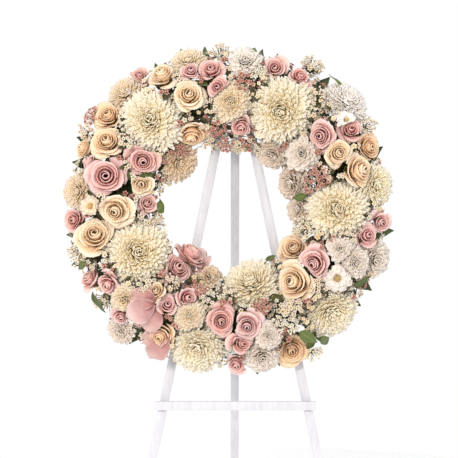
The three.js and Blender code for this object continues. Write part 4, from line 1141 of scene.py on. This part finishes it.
# %% Painted wood
def paint_finish():
    f = Finish("white painted wood", Specular_IOR_Level=0.4, Coat_Roughness=0.35)
    grain = f.noise(f.place(130, 130, 7), 1.0, 4.0, 0.6)
    brush = f.noise(f.place(420, 420, 3), 1.0, 2.0)
    dirt = f.noise(f.place(), 9.0, 4.0).spread(0.5, 0.8)
    body = grain.spread(0.35, 0.75).mixed(rgb("d9d8de"), rgb("cbcad3"))
    body = (dirt * 0.3).mixed(body, rgb("c0bec5"))
    return f.set(colour=body, roughness=(grain * 0.25) + 0.32, height=grain + brush * 0.5, depth=0.0005)


PAINT = paint_finish()
SANDED_EDGE = 0.0009


def sanded(node, body):
    """A copy of a solid's mesh with its edges rounded by a Bevel."""
    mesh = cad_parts[node].data.copy()
    work = bmesh.new()
    work.from_mesh(mesh)
    bmesh.ops.remove_doubles(work, verts=work.verts, dist=1e-6)
    bmesh.ops.dissolve_limit(work, angle_limit=0.01, verts=work.verts, edges=work.edges)
    work.to_mesh(mesh)
    work.free()
    piece = put(node + "_finished", mesh)
    mesh.materials.clear()
    mesh.materials.append(PAINT)
    bevel = piece.modifiers.new("sanded edges", "BEVEL")
    bevel.width, bevel.segments, bevel.limit_method = SANDED_EDGE, 2, "ANGLE"
    bevel.harden_normals = True
    mesh.shade_smooth()
    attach(piece, body)
    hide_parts(node)
    print(piece.name, len(mesh.polygons), "faces before the bevel")


for node in ("front_leg_left", "front_leg_right", "crossbar", "header_block"):
    sanded(node, "front_frame")
sanded("rear_leg", "rear_leg")

# %% [markdown]
# ## Hinge and wire
# The hinge is pressed from zinc-plated strip, so it keeps the solid's shape and takes a finish with
# fine rolling lines and a cloudy plating. The wire loop over the legs' tops has the same metal.

# %% Zinc-plated steel
def steel_finish():
    f = Finish("zinc plated steel", Specular_IOR_Level=0.5)
    cloud = f.noise(f.place(), 220.0, 3.0)
    lines = f.noise(f.place(900, 900, 30), 1.0, 2.0)
    body = cloud.mixed(rgb("a9acb1"), rgb("d0d2d6"))
    return f.set(colour=body, roughness=cloud * 0.25 + 0.25, height=lines, depth=0.0001,
                 metallic=cloud * 0.1 + 0.9)


STEEL = steel_finish()
for node in ("hinge_leaf_fixed", "hinge_leaf_moving", "hanging_wire"):
    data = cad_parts[node].data
    data.materials.clear()
    data.materials.append(STEEL)
    print(node, "in", STEEL.name)

# %% [markdown]
# ## The studio
# The picture was taken square to the wreath against plain white. A round white floor and an even
# white surround give soft light from everywhere; one broad lamp above and to the left adds the
# gentle shadows between the petals.

# %% Floor and surround
def white_floor(radius=1.7, corners=64):
    """A flat disc under the easel, half a millimetre below its feet."""
    turn = np.arange(corners) / corners * 2 * np.pi
    mesh = bpy.data.meshes.new("floor")
    rim = np.stack([radius * np.cos(turn), radius * np.sin(turn), 0 * turn - 0.0005], -1)
    mesh.from_pydata(rim.tolist(), [], [list(range(corners))])
    floor = put("floor", mesh)
    f = Finish("studio floor", Roughness=0.8)
    soft = f.noise(f.place(), 3.0)
    mesh.materials.append(f.set(colour=soft.mixed(rgb("fbfbfb"), rgb("fefefe"))))


white_floor()
world = bpy.data.worlds.new("white surround")
world.use_nodes = True
world.node_tree.nodes["Background"].inputs["Color"].default_value = (1, 1, 1, 1)
world.node_tree.nodes["Background"].inputs["Strength"].default_value = 1.0
bpy.context.scene.world = world


# %% Lamp
def point_at(thing, target):
    """Turns a lamp or camera so that it looks at a point."""
    ahead = Vector(target) - thing.location
    thing.rotation_euler = ahead.to_track_quat("-Z", "Y").to_euler()


light = bpy.data.lights.new("broad lamp", "AREA")
light.shape, light.size, light.energy, light.color = "DISK", 0.6, 50, (1.0, 0.95, 0.87)
lamp = put("broad lamp", light)
lamp.location = (-0.8, -3.1, 1.9)
point_at(lamp, (0, -0.15, 0.9))

# %% [markdown]
# ## The camera
# The lens takes in the sketch's whole width at the wreath's distance, and the camera looks a little
# down, almost square to the leaning face. The Standard view transform keeps white as it is.

# %% Camera
CAMERA_AWAY, CAMERA_RISE = 3.2, np.radians(6.5)
PICTURE_WIDTH = 458 * UNIT  # what the picture takes in at the wreath's distance
SENSOR = 36
camera = put("camera", bpy.data.cameras.new("camera"))
aim = on_easel([0.0019, -0.0399, 0.070])
camera.location = aim + CAMERA_AWAY * np.array([0, -np.cos(CAMERA_RISE), np.sin(CAMERA_RISE)])
point_at(camera, aim)
camera.data.sensor_width = SENSOR
camera.data.lens = SENSOR * CAMERA_AWAY / PICTURE_WIDTH
bpy.context.scene.camera = camera
bpy.context.scene.view_settings.view_transform = "Standard"
print("camera:", [round(v, 3) for v in camera.location])
